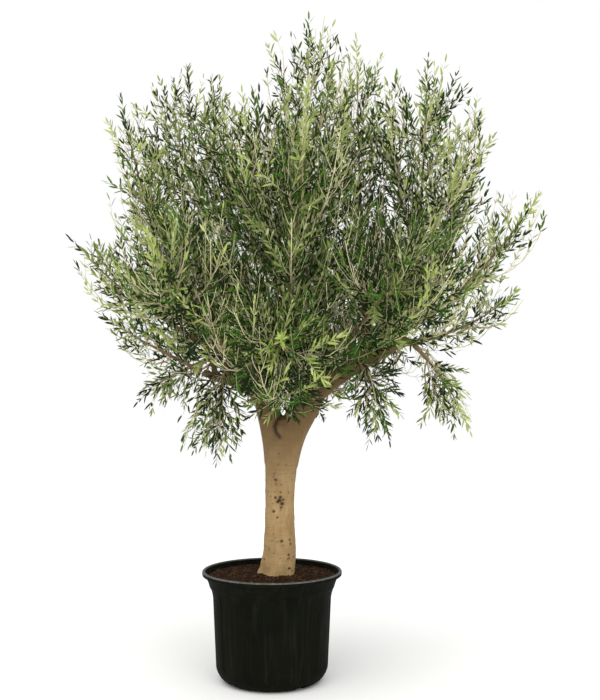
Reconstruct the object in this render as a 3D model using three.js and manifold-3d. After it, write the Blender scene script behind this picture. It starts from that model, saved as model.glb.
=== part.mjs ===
// An olive tree in a round nursery pot: the pot, its soil, the trunk, the boughs and the masses of foliage.
// Millimetres, +Z up, +Y away from the viewer. The origin is on the floor under the middle of the pot.
import * as THREE from 'three';
import { mergeVertices } from 'three/addons/utils/BufferGeometryUtils.js';
import Module from 'manifold-3d';

const wasm = await Module();
wasm.setup();

const radians = THREE.MathUtils.degToRad;

// ---------------------------------------------------------------- driving sizes

const seatGap = 0.3; // clearance between two pieces that rest on or grow from each other

const pot = {
  height: 470,
  rimRadius: 300,
  lipHeight: 20,
  flareRadius: 286, // the wall just under the lip
  collarRadius: 263, // half way down the flare
  collarHeight: 400,
  neckRadius: 250, // where the flare runs out into the wall
  neckHeight: 347,
  heelRadius: 237, // the foot of the wall, above the rounded heel
  heelHeight: 66,
  baseRadius: 172,
  wall: 6,
  sides: 36,
  heelSteps: 2,
  turn: 3, // degrees that its ribs stand round from the front
  ribs: 12, // broad upright ribs, one facet wide, with shallow panels between them
  ribWidth: 37,
  ribProud: 3,
  ribFoot: 78,
  ribTop: 362,
  notches: 4, // drain holes through the edge of the base, with the soil behind them
  notchTurn: 37, // degrees from the front to the first notch, towards +X
  notchWidth: 48,
  notchHeight: 18,
  notchDepth: 26,
};

const soil = {
  level: 455, // the flat middle that the trunk stands on
  edgeLevel: 446,
  flatRadius: 118,
  roughness: 5,
  rings: 1,
  sides: 12,
};

// Stations up the trunk: height, how far it has wandered to +X, and its radius.
const trunk = {
  sides: 14,
  steps: 11,
  stations: [
    { z: 455, x: 19, r: 80 },
    { z: 482, x: 27, r: 75 },
    { z: 560, x: 33, r: 69 },
    { z: 680, x: 33, r: 64 },
    { z: 800, x: 33, r: 63 },
    { z: 920, x: 37, r: 67 },
    { z: 1010, x: 42, r: 71 },
    { z: 1075, x: 46, r: 66 },
    { z: 1118, x: 48, r: 50 },
  ],
  flareLobes: 5, // root swellings round the foot
  flareDepth: 7,
  flareHeight: 110,
};

// The trunk forks into two horns, which the two lowest boughs carry on.
const horns = {
  left: { from: [22, 0, 930], bend: [12, 0, 1060], to: [-17, 0, 1154], rootRadius: 56, tipRadius: 52 },
  right: { from: [48, 0, 920], bend: [66, 0, 1040], to: [144, 0, 1176], rootRadius: 62, tipRadius: 65 },
};

// Each bough leaves its parent at a share of the parent's length, or carries on from a horn's tip.
const boughs = [
  { name: 'left', horn: 'left', tip: [-280, 140, 1640] },
  { name: 'right', horn: 'right', tip: [467, -30, 1405], tipRadius: 31 },
  { name: 'right_top', parent: 'right', at: 1, tip: [610, -80, 1680] },
  { name: 'middle', parent: 'right', at: 0.16, tip: [40, -110, 1640] },
  { name: 'back', parent: 'right', at: 0.08, tip: [130, 300, 1520] },
  { name: 'front', parent: 'left', at: 0.16, tip: [60, -300, 1460] },
  { name: 'top', parent: 'middle', at: 0.62, tip: [140, 0, 1840] },
  { name: 'top_right', parent: 'right', at: 0.72, tip: [400, 130, 1700] },
  { name: 'left_top', parent: 'left', at: 0.7, tip: [-410, 0, 1620] },
  { name: 'left_far', parent: 'left', at: 0.42, tip: [-360, -20, 1480] },
  { name: 'left_low', parent: 'left', at: 0.1, tip: [-290, -90, 1320] },
  { name: 'left_hang', parent: 'left_low', at: 0.55, tip: [-190, -190, 1340] },
  { name: 'left_drop', parent: 'left_low', at: 0.75, tip: [-290, 60, 1370] },
  { name: 'front_left', parent: 'left', at: 0.36, tip: [-200, -250, 1450] },
  { name: 'back_left', parent: 'left', at: 0.45, tip: [-220, 300, 1500] },
  { name: 'right_upper', parent: 'right_top', at: 0.6, tip: [700, 0, 1680] },
  { name: 'right_far', parent: 'right_top', at: 0.4, tip: [700, -30, 1580] },
  { name: 'right_mid', parent: 'right_top', at: 0.2, tip: [640, 70, 1450] },
  { name: 'right_hang', parent: 'right', at: 0.88, tip: [600, -110, 1435] },
  { name: 'under_right', parent: 'right', at: 0.5, tip: [370, -170, 1370] },
  { name: 'front_right', parent: 'right', at: 0.6, tip: [330, -280, 1470] },
  { name: 'back_right', parent: 'right', at: 0.82, tip: [470, 290, 1500] },
  { name: 'back_low', parent: 'back', at: 0.35, tip: [110, 260, 1320] },
  { name: 'front_low', parent: 'front', at: 0.4, tip: [20, -250, 1380] },
];

// The mass of foliage on a bough's tip: the reach of its furthest leaf, its half width, and whether its
// twigs turn up (1) or hang (-1).
const masses = {
  left: { reach: [-411, 350, 2761], spread: 350, lift: 1 },
  right_top: { reach: [639, -320, 2617], spread: 305, lift: 1 },
  middle: { reach: [-114, -420, 2452], spread: 370, lift: 1 },
  back: { reach: [110, 640, 2560], spread: 390, lift: 1 },
  front: { reach: [150, -760, 2380], spread: 370, lift: 1 },
  top: { reach: [159, 0, 2879], spread: 255, lift: 1 },
  top_right: { reach: [382, 330, 2865], spread: 205, lift: 1 },
  left_top: { reach: [-640, -100, 2480], spread: 175, lift: 1 },
  left_far: { reach: [-865, -50, 1887], spread: 185, lift: 0.6 },
  left_low: { reach: [-728, -100, 1560], spread: 160, lift: 0.2 },
  left_hang: { reach: [-215, -330, 950], spread: 195, lift: -1 },
  left_drop: { reach: [-600, 90, 1190], spread: 155, lift: -0.6 },
  front_left: { reach: [-440, -760, 1830], spread: 370, lift: 0.8 },
  back_left: { reach: [-440, 780, 2000], spread: 370, lift: 0.8 },
  right_upper: { reach: [915, 150, 2540], spread: 155, lift: 1 },
  right_far: { reach: [1165, 0, 2100], spread: 165, lift: 0.8 },
  right_mid: { reach: [1093, 100, 1684], spread: 160, lift: 0.8 },
  right_hang: { reach: [835, -150, 1070], spread: 190, lift: -1 },
  under_right: { reach: [489, -260, 1030], spread: 175, lift: -1 },
  front_right: { reach: [570, -760, 1880], spread: 360, lift: 0.8 },
  back_right: { reach: [700, 760, 1980], spread: 370, lift: 0.8 },
  back_low: { reach: [130, 820, 1400], spread: 350, lift: -0.3 },
  front_low: { reach: [60, -800, 1440], spread: 350, lift: -0.3 },
};

const limb = {
  main: { sides: 9, links: 5 }, // the two that carry on from the horns
  side: { sides: 6, links: 3 },
  tipRadius: 13,
  shareOfParent: 0.62, // a side bough's root radius over its parent's there
  taper: 0.85,
  handle: 0.36, // Bezier handle over the chord
};

const stem = {
  sides: 4,
  links: 4,
  tipRadius: 5,
  arch: 0.13, // how far it sags below its chord, over the chord
  leafShares: [0.35, 0.63, 0.9], // where it has pairs of leaves of its own
};

// Twigs stand round the stem. Each is tried at a few turns and lengths, and keeps the roomiest.
const twig = {
  spacing: 165, // along the stem
  least: 5, // of them to a stem
  sides: 3,
  links: 2,
  shareOfStem: 0.75, // its root radius over the stem's there
  tipRadius: 3,
  first: 0.08, // share of the stem at the lowest twig
  last: 0.86,
  sweep: 0.75, // how far it leans along the stem, over how far it stands off
  lift: 0.3, // how far it turns up, over the same
  turn: radians(137.5),
  turnTries: [0, 25, -25, 50, -50].map(radians),
  lengthTries: [1, 0.8, 0.6, 0.4],
  firstPair: 50, // how far behind its end leaf the first pair of leaves sits
  pairSpacing: 92,
  bareFoot: 35,
};

// Each leaf stands for a spray of the real ones. These sizes are for a mass of the full spread, and a
// smaller mass has smaller leaves.
const leaf = {
  fullSpread: 390,
  leastSize: 0.40,
  length: 225,
  width: 60,
  thickness: 6,
  waist: 0.46, // share of the length at the widest point
  sunk: 1, // how far its root lies behind the middle of its twig
  splay: radians(46),
  room: 24, // least gap between its outline's points and those of another twig's leaves
  woodRoom: 16, // and to the middle of another twig
};

const domeFoot = 0.4; // share of a mass's length above which its sides close in to its tip
const stemMargin = 7; // half the least gap between two masses
const limbMargin = 5;

const colour = {
  pot: { color: '#23261f', roughness: 0.55 },
  soil: { color: '#3a2418', roughness: 1 },
  bark: { color: '#a88a62', roughness: 0.85 },
  foliage: { color: '#5d6f43', roughness: 0.6 },
};

// ---------------------------------------------------------------- small tools

const up = new THREE.Vector3(0, 0, 1);
const mix = THREE.MathUtils.lerp;
const vector = ([x, y, z]) => new THREE.Vector3(x, y, z);
const onward = (point, direction, distance) => point.clone().addScaledVector(direction, distance);
const leafSize = (spread) => mix(leaf.leastSize, 1, spread / leaf.fullSpread);

// A seeded generator, so that the same tree grows each time.
function seeded(seed) {
  let state = seed >>> 0;
  return () => {
    state = (state + 0x6d2b79f5) >>> 0;
    let t = state;
    t = Math.imul(t ^ (t >>> 15), t | 1);
    t ^= t + Math.imul(t ^ (t >>> 7), t | 61);
    return ((t ^ (t >>> 14)) >>> 0) / 4294967296;
  };
}

function solidOf(geometry) {
  const bare = geometry.clone();
  bare.deleteAttribute('normal');
  bare.deleteAttribute('uv');
  const merged = mergeVertices(bare, 1e-3);
  return new wasm.Manifold(new wasm.Mesh({
    numProp: 3,
    vertProperties: merged.attributes.position.array,
    triVerts: new Uint32Array(merged.index.array),
  }));
}

// The largest body of a solid: loose scraps and sealed hollows are dropped.
const largestOf = (solid) => solid.decompose().reduce((a, b) => (a.volume() > b.volume() ? a : b));

const materials = {};
for (const [name, look] of Object.entries(colour)) {
  materials[name] = new THREE.MeshStandardMaterial({ name, metalness: 0, ...look });
}

function meshOf(name, solid, material) {
  const { numProp, vertProperties, triVerts } = solid.getMesh();
  const count = vertProperties.length / numProp;
  const position = new Float32Array(count * 3);
  for (let i = 0; i < count; i++) {
    position.set(vertProperties.subarray(i * numProp, i * numProp + 3), i * 3);
  }
  const geometry = new THREE.BufferGeometry();
  geometry.setAttribute('position', new THREE.BufferAttribute(position, 3));
  geometry.setIndex(new THREE.BufferAttribute(new Uint32Array(triVerts), 1));
  geometry.computeVertexNormals();
  const mesh = new THREE.Mesh(geometry, materials[material]);
  mesh.name = name;
  return mesh;
}

// A profile of [radius, height] points turned round the Z axis.
function turned(profile, sides) {
  const points = profile.map(([r, z]) => new THREE.Vector2(r, z));
  return new THREE.LatheGeometry(points, sides).rotateX(Math.PI / 2);
}

// A chain of straight links along a curve, with its rings and joints at the same points. It keeps the
// curve's own direction, so a piece that carries on from its end meets it face to face.
class Chain extends THREE.Curve {
  constructor(curve, links) {
    super();
    this.curve = curve;
    this.points = Array.from({ length: links + 1 }, (_, i) => curve.getPoint(i / links));
  }

  getPoint(share) {
    const at = share * (this.points.length - 1);
    const link = Math.min(Math.floor(at), this.points.length - 2);
    return this.points[link].clone().lerp(this.points[link + 1], at - link);
  }

  getTangent(share) {
    return this.curve.getTangent(share);
  }

  getUtoTmapping(share) {
    return share;
  }

  // The same chain with both its ends moved out.
  lengthened(extra) {
    const longer = new Chain(this.curve, this.points.length - 1);
    longer.points.at(0).addScaledVector(this.getTangent(0), -extra);
    longer.points.at(-1).addScaledVector(this.getTangent(1), extra);
    return longer;
  }
}

// A closed cylinder bent along a chain, one ring to a joint. radiusAt(share, angle) gives its radius.
function bentTube(chain, sides, radiusAt) {
  const links = chain.points.length - 1;
  const geometry = new THREE.CylinderGeometry(1, 1, 1, sides, links);
  const frames = chain.computeFrenetFrames(links, false);
  const position = geometry.attributes.position;
  for (let i = 0; i < position.count; i++) {
    const share = position.getY(i) + 0.5;
    const joint = Math.round(share * links);
    const angle = Math.atan2(position.getX(i), position.getZ(i));
    const isOnAxis = Math.hypot(position.getX(i), position.getZ(i)) < 1e-6;
    const radius = isOnAxis ? 0 : radiusAt(share, angle);
    const point = onward(chain.points[joint], frames.normals[joint], Math.cos(angle) * radius);
    point.addScaledVector(frames.binormals[joint], Math.sin(angle) * radius);
    position.setXYZ(i, point.x, point.y, point.z);
  }
  return geometry;
}

// ---------------------------------------------------------------- the pot and its soil

// The rounded heel between the base and the wall, as a quarter of an ellipse.
function heel() {
  return Array.from({ length: pot.heelSteps }, (_, i) => {
    const turn = (i / pot.heelSteps) * (Math.PI / 2);
    return [mix(pot.baseRadius, pot.heelRadius, Math.sin(turn)), pot.heelHeight * (1 - Math.cos(turn))];
  });
}

function potBody() {
  const lipFoot = pot.height - pot.lipHeight;
  return turned([
    [0, 0],
    ...heel(),
    [pot.heelRadius, pot.heelHeight],
    [pot.neckRadius, pot.neckHeight],
    [pot.collarRadius, pot.collarHeight],
    [pot.flareRadius, lipFoot],
    [pot.rimRadius, lipFoot],
    [pot.rimRadius, pot.height],
    [0, pot.height],
  ], pot.sides).rotateZ(radians(pot.turn));
}

// The inside of the pot, drawn in by a clearance. The soil fills it.
function potInside(top, clearance = 0) {
  const inset = pot.wall + clearance;
  return turned([
    [0, inset],
    [pot.baseRadius - inset, inset],
    [pot.heelRadius - inset, pot.heelHeight],
    [pot.neckRadius - inset, pot.neckHeight],
    [pot.collarRadius - inset, pot.collarHeight],
    [pot.flareRadius - inset, pot.height - pot.lipHeight],
    [pot.flareRadius - inset, top],
    [0, top],
  ], pot.sides).rotateZ(radians(pot.turn));
}

function notchAt(index) {
  const turn = radians(pot.notchTurn) + (index / pot.notches) * Math.PI * 2;
  const inner = pot.baseRadius - pot.notchDepth;
  return new THREE.BoxGeometry(pot.notchWidth, pot.heelRadius - inner, pot.notchHeight * 2)
    .translate(0, -(inner + pot.heelRadius) / 2, 0)
    .rotateZ(turn);
}

function ribAt(index) {
  const facet = (Math.PI * 2) / pot.sides;
  const turn = radians(pot.turn) - facet / 2 + (index / pot.ribs) * Math.PI * 2;
  const sunk = 3;
  const lean = Math.atan2(pot.neckRadius - pot.heelRadius, pot.neckHeight - pot.heelHeight);
  const middle = (pot.ribTop + pot.ribFoot) / 2;
  const radius = (pot.heelRadius + Math.tan(lean) * (middle - pot.heelHeight)) * Math.cos(facet / 2);
  return new THREE.BoxGeometry(pot.ribWidth, sunk + pot.ribProud, pot.ribTop - pot.ribFoot)
    .translate(0, (sunk - pot.ribProud) / 2, 0)
    .rotateX(lean)
    .translate(0, -radius, middle)
    .rotateZ(turn);
}

function potSolid() {
  let body = solidOf(potBody());
  for (let i = 0; i < pot.ribs; i++) body = body.add(solidOf(ribAt(i)));
  for (let i = 0; i < pot.notches; i++) body = body.subtract(solidOf(notchAt(i)));
  return body.subtract(solidOf(potInside(pot.height + 1)));
}

// Everything under the soil's top, which is flat round the trunk, and rough and lower at the wall.
function soilTop(random) {
  const wall = pot.flareRadius + 20;
  const profile = [[0, 0], [wall, 0]];
  for (let i = soil.rings; i >= 0; i--) {
    const share = i / soil.rings;
    profile.push([mix(soil.flatRadius, wall, share), mix(soil.level, soil.edgeLevel, share)]);
  }
  profile.push([0, soil.level]);
  const bare = turned(profile, soil.sides);
  bare.deleteAttribute('normal');
  bare.deleteAttribute('uv');
  const geometry = mergeVertices(bare, 1e-3);
  const position = geometry.attributes.position;
  for (let i = 0; i < position.count; i++) {
    const radius = Math.hypot(position.getX(i), position.getY(i));
    const isRough = position.getZ(i) > 1 && radius > soil.flatRadius + 1;
    if (isRough) position.setZ(i, position.getZ(i) + mix(-soil.roughness, soil.roughness, random()));
  }
  return geometry;
}

function soilSolid() {
  return solidOf(potInside(pot.height, seatGap)).intersect(solidOf(soilTop(seeded(3))));
}

// ---------------------------------------------------------------- the trunk and boughs

// The trunk's radius and wander at a height, eased between its stations.
function trunkAt(z) {
  const { stations } = trunk;
  const next = Math.max(1, stations.findIndex((station) => station.z >= z - 1e-6));
  const [low, high] = [stations[next - 1], stations[next]];
  const share = THREE.MathUtils.smoothstep(z, low.z, high.z);
  return { x: mix(low.x, high.x, share), r: mix(low.r, high.r, share) };
}

function trunkTube(extra) {
  const { stations, sides, steps, flareLobes, flareDepth, flareHeight } = trunk;
  const foot = stations[0].z;
  const head = stations.at(-1).z;
  const axis = new THREE.LineCurve3(new THREE.Vector3(0, 0, foot), new THREE.Vector3(0, 0, head));
  const radiusAt = (share, angle) => {
    const z = mix(foot, head, share);
    const fade = Math.max(0, 1 - (z - foot) / flareHeight);
    return trunkAt(z).r + extra + flareDepth * fade * fade * Math.cos(flareLobes * angle + 1.2);
  };
  const tube = bentTube(new Chain(axis, steps), sides, radiusAt);
  const position = tube.attributes.position;
  for (let i = 0; i < position.count; i++) {
    const z = position.getZ(i);
    position.setX(i, position.getX(i) + trunkAt(z).x);
    if (z < foot + 1) position.setZ(i, foot + seatGap - extra);
  }
  return tube;
}

const hornChain = ({ from, bend, to }) => (
  new Chain(new THREE.QuadraticBezierCurve3(vector(from), vector(bend), vector(to)), 4)
);

function hornTube(horn, extra) {
  const radiusAt = (share) => mix(horn.rootRadius, horn.tipRadius, share) + extra;
  return bentTube(hornChain(horn).lengthened(extra), trunk.sides - 4, radiusAt);
}

function trunkSolid(extra = 0) {
  const tubes = [trunkTube(extra), hornTube(horns.left, extra), hornTube(horns.right, extra)];
  return wasm.Manifold.union(tubes.map(solidOf));
}

// The stem of a mass of foliage sags between its bough's tip and its reach, and ends a leaf short.
function stemChain({ tip, reach, spread, lift }) {
  const from = vector(tip);
  const to = vector(reach);
  const bend = onward(from.clone().lerp(to, 0.5), up, -lift * stem.arch * from.distanceTo(to));
  const start = onward(from, bend.clone().sub(from).normalize(), seatGap);
  const end = onward(to, to.clone().sub(bend).normalize(), -leaf.length * leafSize(spread));
  return new Chain(new THREE.QuadraticBezierCurve3(start, bend, end), stem.links);
}

// Works out each bough's centreline and radii from its parent's.
function layOut() {
  const laid = new Map();
  for (const listed of boughs) {
    const bough = { ...listed, ...masses[listed.name] };
    const tip = vector(bough.tip);
    const parent = laid.get(bough.parent);
    const horn = horns[bough.horn];
    const from = horn ? hornChain(horn) : parent.chain;
    const start = from.getPoint(bough.at ?? 1);
    const heading = from.getTangent(bough.at ?? 1);
    let rootRadius = horn ? horn.tipRadius : parent.radiusAt(bough.at);
    if ((bough.at ?? 1) === 1) {
      start.addScaledVector(heading, seatGap);
    } else {
      rootRadius *= limb.shareOfParent;
      heading.lerp(tip.clone().sub(start).normalize(), 0.6).normalize();
    }
    const handle = limb.handle * start.distanceTo(tip);
    const leave = onward(start, heading, handle);
    const arriving = bough.reach ? stemChain(bough).getTangent(0) : tip.clone().sub(leave).normalize();
    const curve = new THREE.CubicBezierCurve3(start, leave, onward(tip, arriving, -handle), tip);
    const tipRadius = bough.tipRadius ?? limb.tipRadius;
    const radiusAt = (share) => mix(tipRadius, Math.max(rootRadius, tipRadius), (1 - share) ** limb.taper);
    const { sides, links } = horn ? limb.main : limb.side;
    laid.set(bough.name, { ...bough, chain: new Chain(curve, links), sides, radiusAt });
  }
  return [...laid.values()];
}

const boughTube = ({ chain, sides, radiusAt }, extra = 0) => (
  bentTube(chain.lengthened(extra), sides, (share) => radiusAt(share) + extra)
);

// ---------------------------------------------------------------- the foliage

// How far a twig and its end leaf stand off the stem, over the mass's spread: less at the bough, full
// in the middle and drawn in to the tip.
const fullness = (share) => 0.35 + 0.65 * Math.sin(Math.PI * (0.15 + 0.8 * share));

const samplesOf = (chain) => Array.from({ length: 25 }, (_, i) => chain.getPoint(i / 24));

function nearestOn(samples, point) {
  let best = Infinity;
  let share = 0;
  samples.forEach((sample, i) => {
    const distance = sample.distanceToSquared(point);
    if (distance < best) {
      best = distance;
      share = i / (samples.length - 1);
    }
  });
  return { distance: Math.sqrt(best), share };
}

// Tells whether a point lies in a mass's own space: under the dome of its spread and reach, nearer to
// its own stem than to any other, and off every bough.
function spaceTest(plume, plumes, limbs) {
  const root = vector(plume.tip);
  const axis = vector(plume.reach).sub(root);
  const length = axis.length();
  axis.normalize();
  return (point) => {
    const rise = point.clone().sub(root).dot(axis) / length;
    const radius = point.distanceTo(onward(root, axis, rise * length));
    const height = Math.max(0, (rise - domeFoot) / (1 - domeFoot));
    if (radius / plume.spread > Math.sqrt(Math.max(0, 1 - height ** 3))) return false;
    const own = nearestOn(plume.samples, point).distance;
    for (const other of plumes) {
      if (other !== plume && nearestOn(other.samples, point).distance - own < 2 * stemMargin) return false;
    }
    return limbs.every(({ samples, radiusAt }) => {
      const { distance, share } = nearestOn(samples, point);
      return distance > radiusAt(share) + limbMargin;
    });
  };
}

// A leaf blade of six faces: a root, a tip, two edges and a ridge along its back.
function leafBlade({ root, direction, across, size }) {
  const blade = turned([[0, -leaf.sunk], [1, size * leaf.length * leaf.waist], [0, size * leaf.length]], 3);
  blade.scale((size * leaf.width) / Math.sqrt(3), leaf.thickness / 1.5, 1);
  const back = new THREE.Vector3().crossVectors(direction, across);
  return blade.applyMatrix4(new THREE.Matrix4().makeBasis(across, back, direction).setPosition(root));
}

// A leaf at a share of a twig, turned out of the twig's line by an angle in the spray's plane.
function leafAt(chain, share, broad, splay, roll, size) {
  const along = chain.getTangent(share);
  const sideways = broad.clone().addScaledVector(along, -broad.dot(along)).normalize();
  const direction = onward(along.multiplyScalar(Math.cos(splay)), sideways, Math.sin(splay));
  const across = sideways.addScaledVector(direction, -sideways.dot(direction)).normalize();
  return { root: chain.getPoint(share), direction, across: across.applyAxisAngle(direction, roll), size };
}

// The points of a leaf that have to lie free.
function outlineOf({ root, direction, across, size }) {
  const at = (share, side = 0) => (
    onward(onward(root, direction, share * size * leaf.length), across, (side * size * leaf.width) / 2)
  );
  const foot = [at(0.15), at(0.35)];
  const waist = [at(leaf.waist, 1), at(leaf.waist, -1)];
  const point = [at(0.6), at(0.8, 0.4), at(0.8, -0.4), at(1)];
  return [...foot, ...waist, ...point];
}

// A twig stands out to the side of the stem, sweeps along it, and turns up or hangs down.
function twigChain(plume, share, turn, reach) {
  const root = plume.chain.getPoint(share);
  const along = plume.chain.getTangent(share);
  const other = Math.abs(along.z) > 0.9 ? new THREE.Vector3(1, 0, 0) : up;
  const side = new THREE.Vector3().crossVectors(along, other).normalize().applyAxisAngle(along, turn);
  const bend = onward(onward(root, side, reach * 0.6), along, reach * 0.15);
  const tip = onward(onward(root, side, reach), along, reach * twig.sweep);
  tip.addScaledVector(up, reach * twig.lift * plume.lift);
  const chain = new Chain(new THREE.QuadraticBezierCurve3(root, bend, tip), twig.links);
  return { chain, broad: new THREE.Vector3().crossVectors(along, side) };
}

// The leaves of a twig that lie free: one at its end, and pairs spaced down it.
function sprayOn({ chain, broad }, isFree, roll, size) {
  const leaves = [leafAt(chain, 1, broad, 0, roll, size)];
  const length = chain.getLength();
  for (let back = size * twig.firstPair; back < length - twig.bareFoot; back += size * twig.pairSpacing) {
    for (const side of [1, -1]) {
      leaves.push(leafAt(chain, 1 - back / length, broad, side * leaf.splay, roll, size));
    }
  }
  return leaves.filter((blade) => outlineOf(blade).every(isFree));
}

function foliageSolid(plume, isInSpace) {
  const random = seeded(plume.seed);
  const size = leafSize(plume.spread);
  const stemRadius = (share) => mix(limb.tipRadius, stem.tipRadius, share ** 0.8);
  const tubes = [bentTube(plume.chain, stem.sides, stemRadius)];
  const broad = new THREE.Vector3().crossVectors(plume.chain.getTangent(1), new THREE.Vector3(0, 1, 0));
  const leaves = [leafAt(plume.chain, 1, broad, 0, 0, size)];
  for (const [i, share] of stem.leafShares.entries()) {
    const facing = broad.clone().applyAxisAngle(plume.chain.getTangent(share), i * twig.turn);
    const splays = [leaf.splay, -leaf.splay];
    const pair = splays.map((splay) => leafAt(plume.chain, share, facing, splay, 0, size));
    leaves.push(...pair.filter((blade) => outlineOf(blade).every(isInSpace)));
  }
  const taken = leaves.flatMap(outlineOf);
  const wood = samplesOf(plume.chain);
  const isOff = (points, point, room) => points.every((other) => other.distanceTo(point) > room);
  const isOpen = (point) => isOff(taken, point, leaf.room) && isInSpace(point);
  const isFree = (point) => isOpen(point) && isOff(wood, point, leaf.woodRoom);
  const count = Math.max(twig.least, Math.round(plume.chain.getLength() / (size * twig.spacing)));
  for (let i = 0; i < count; i++) {
    const share = mix(twig.first, twig.last, i / (count - 1));
    const room = plume.spread * fullness(share) - size * leaf.length * 0.6;
    const reach = Math.max(room, 60) * mix(0.9, 1.1, random());
    const roll = mix(-0.5, 0.5, random());
    let best = { leaves: [] };
    for (const length of twig.lengthTries) {
      for (const extra of twig.turnTries) {
        const found = twigChain(plume, share, i * twig.turn + plume.turn + extra, reach * length);
        found.leaves = sprayOn(found, isFree, roll, size);
        if (found.leaves.length <= best.leaves.length) continue;
        if (samplesOf(found.chain).slice(3).every(isOpen)) best = found;
      }
    }
    if (!best.chain) continue;
    const rootRadius = twig.shareOfStem * stemRadius(share);
    tubes.push(bentTube(best.chain, twig.sides, (s) => mix(rootRadius, twig.tipRadius, s)));
    leaves.push(...best.leaves);
    taken.push(...best.leaves.flatMap(outlineOf));
    wood.push(...samplesOf(best.chain));
  }
  return largestOf(wasm.Manifold.union([...tubes, ...leaves.map(leafBlade)].map(solidOf)).simplify(0.3));
}

// ---------------------------------------------------------------- the assembly

const tree = new THREE.Group();
tree.name = 'olive_tree';
tree.add(meshOf('pot', potSolid(), 'pot'));
tree.add(meshOf('soil', soilSolid(), 'soil'));
tree.add(meshOf('trunk', trunkSolid(), 'bark'));

// Each bough is cut clear of the trunk and of the boughs before it.
const limbs = layOut().map((bough) => ({ ...bough, samples: samplesOf(bough.chain) }));
const cutters = [trunkSolid(seatGap)];
for (const bough of limbs) {
  const whole = solidOf(boughTube(bough));
  const solid = largestOf(cutters.reduce((a, b) => a.subtract(b), whole));
  tree.add(meshOf(`bough_${bough.name}`, solid, 'bark'));
  cutters.push(solidOf(boughTube(bough, seatGap)));
}

const plumes = limbs.filter(({ reach }) => reach).map((bough, i) => {
  const chain = stemChain(bough);
  return { ...bough, chain, samples: samplesOf(chain), seed: 11 + i, turn: i * 1.7 };
});
for (const plume of plumes) {
  const solid = foliageSolid(plume, spaceTest(plume, plumes, limbs));
  tree.add(meshOf(`foliage_${plume.name}`, solid, 'foliage'));
}

export default tree;
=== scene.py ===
import math
from itertools import product

import bpy
import numpy as np
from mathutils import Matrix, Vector, noise


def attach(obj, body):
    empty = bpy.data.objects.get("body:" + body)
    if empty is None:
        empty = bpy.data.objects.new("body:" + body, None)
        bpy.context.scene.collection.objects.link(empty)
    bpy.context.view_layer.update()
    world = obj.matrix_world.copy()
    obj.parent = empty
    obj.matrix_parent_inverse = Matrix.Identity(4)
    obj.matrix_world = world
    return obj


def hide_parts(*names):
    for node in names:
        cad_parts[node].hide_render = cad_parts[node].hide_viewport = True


# An olive tree in a round nursery pot. Metres, +Z up, the viewer stands at -Y.
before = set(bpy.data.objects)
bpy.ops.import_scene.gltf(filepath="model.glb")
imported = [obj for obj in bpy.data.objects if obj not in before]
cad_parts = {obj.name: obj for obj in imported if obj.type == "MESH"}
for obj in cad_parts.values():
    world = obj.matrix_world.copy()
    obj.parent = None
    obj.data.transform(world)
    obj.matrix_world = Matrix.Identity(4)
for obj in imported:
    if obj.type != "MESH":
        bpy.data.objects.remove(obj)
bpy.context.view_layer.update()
print("frame loaded:", len(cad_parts), "nodes")

up = np.array([0.0, 0.0, 1.0])


# Small tools

def mix(a, b, share):
    return a + (b - a) * share


def smoothStep(value, low, high):
    share = np.clip((value - low) / (high - low), 0, 1)
    return share * share * (3 - 2 * share)


def unit(vectors):
    vectors = np.asarray(vectors, float)
    return vectors / np.maximum(np.linalg.norm(vectors, axis=-1, keepdims=True), 1e-12)


def dot(a, b):
    return np.sum(a * b, axis=-1, keepdims=True)


def turned(vector, axis, angle):
    # vector turned about a unit axis; angle may be one number or a column of them
    c, s = np.cos(angle), np.sin(angle)
    return vector * c + np.cross(axis, vector) * s + axis * dot(axis, vector) * (1 - c)


def sideOf(along, steep=0.9):
    # a direction square to along, or to each row of it
    return unit(np.cross(along, np.where(np.abs(along[..., 2:]) > steep, [1.0, 0, 0], up)))


def lengthOf(path):
    return np.linalg.norm(np.diff(path, axis=0), axis=1).sum()


class Seeded:
    # an even generator that gives the same draws each time
    def __init__(self, seed):
        self.state = seed

    def draw(self):
        self.state = (self.state + 0x6D2B79F5) & 0xFFFFFFFF
        t = self.state
        t = ((t ^ (t >> 15)) * (t | 1)) & 0xFFFFFFFF
        t ^= (t + (((t ^ (t >> 7)) * (t | 61)) & 0xFFFFFFFF)) & 0xFFFFFFFF
        return ((t ^ (t >> 14)) & 0xFFFFFFFF) / 4294967296


class Curve:
    # a Bezier curve, and the chain of straight links that the solids take along it
    def __init__(self, controls, links=1):
        self.controls = np.array(controls, float)
        self.points = self.curveAt(np.linspace(0, 1, links + 1))

    def curveAt(self, share):
        share = np.atleast_1d(share)[:, None, None]
        row = np.broadcast_to(self.controls, (len(share),) + self.controls.shape)
        while row.shape[1] > 1:
            row = row[:, :-1] * (1 - share) + row[:, 1:] * share
        return row[:, 0]

    def tangentAt(self, share):
        share = np.atleast_1d(share)
        near = self.curveAt(np.clip(share + 1e-4, 0, 1)) - self.curveAt(np.clip(share - 1e-4, 0, 1))
        return unit(near)

    def placeAt(self, share):
        return self.curveAt(share)[0], self.tangentAt(share)[0]

    def chainAt(self, share):
        share = np.atleast_1d(share) * (len(self.points) - 1)
        link = np.clip(share.astype(int), 0, len(self.points) - 2)
        return mix(self.points[link], self.points[link + 1], (share - link)[:, None])

    def length(self):
        return lengthOf(self.points)

    def samples(self, count=25):
        # places along it that leaves are kept off
        return self.chainAt(np.linspace(0, 1, count))


def placed(name, data):
    piece = bpy.data.objects.new(name, data)
    bpy.context.scene.collection.objects.link(piece)
    return piece


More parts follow.
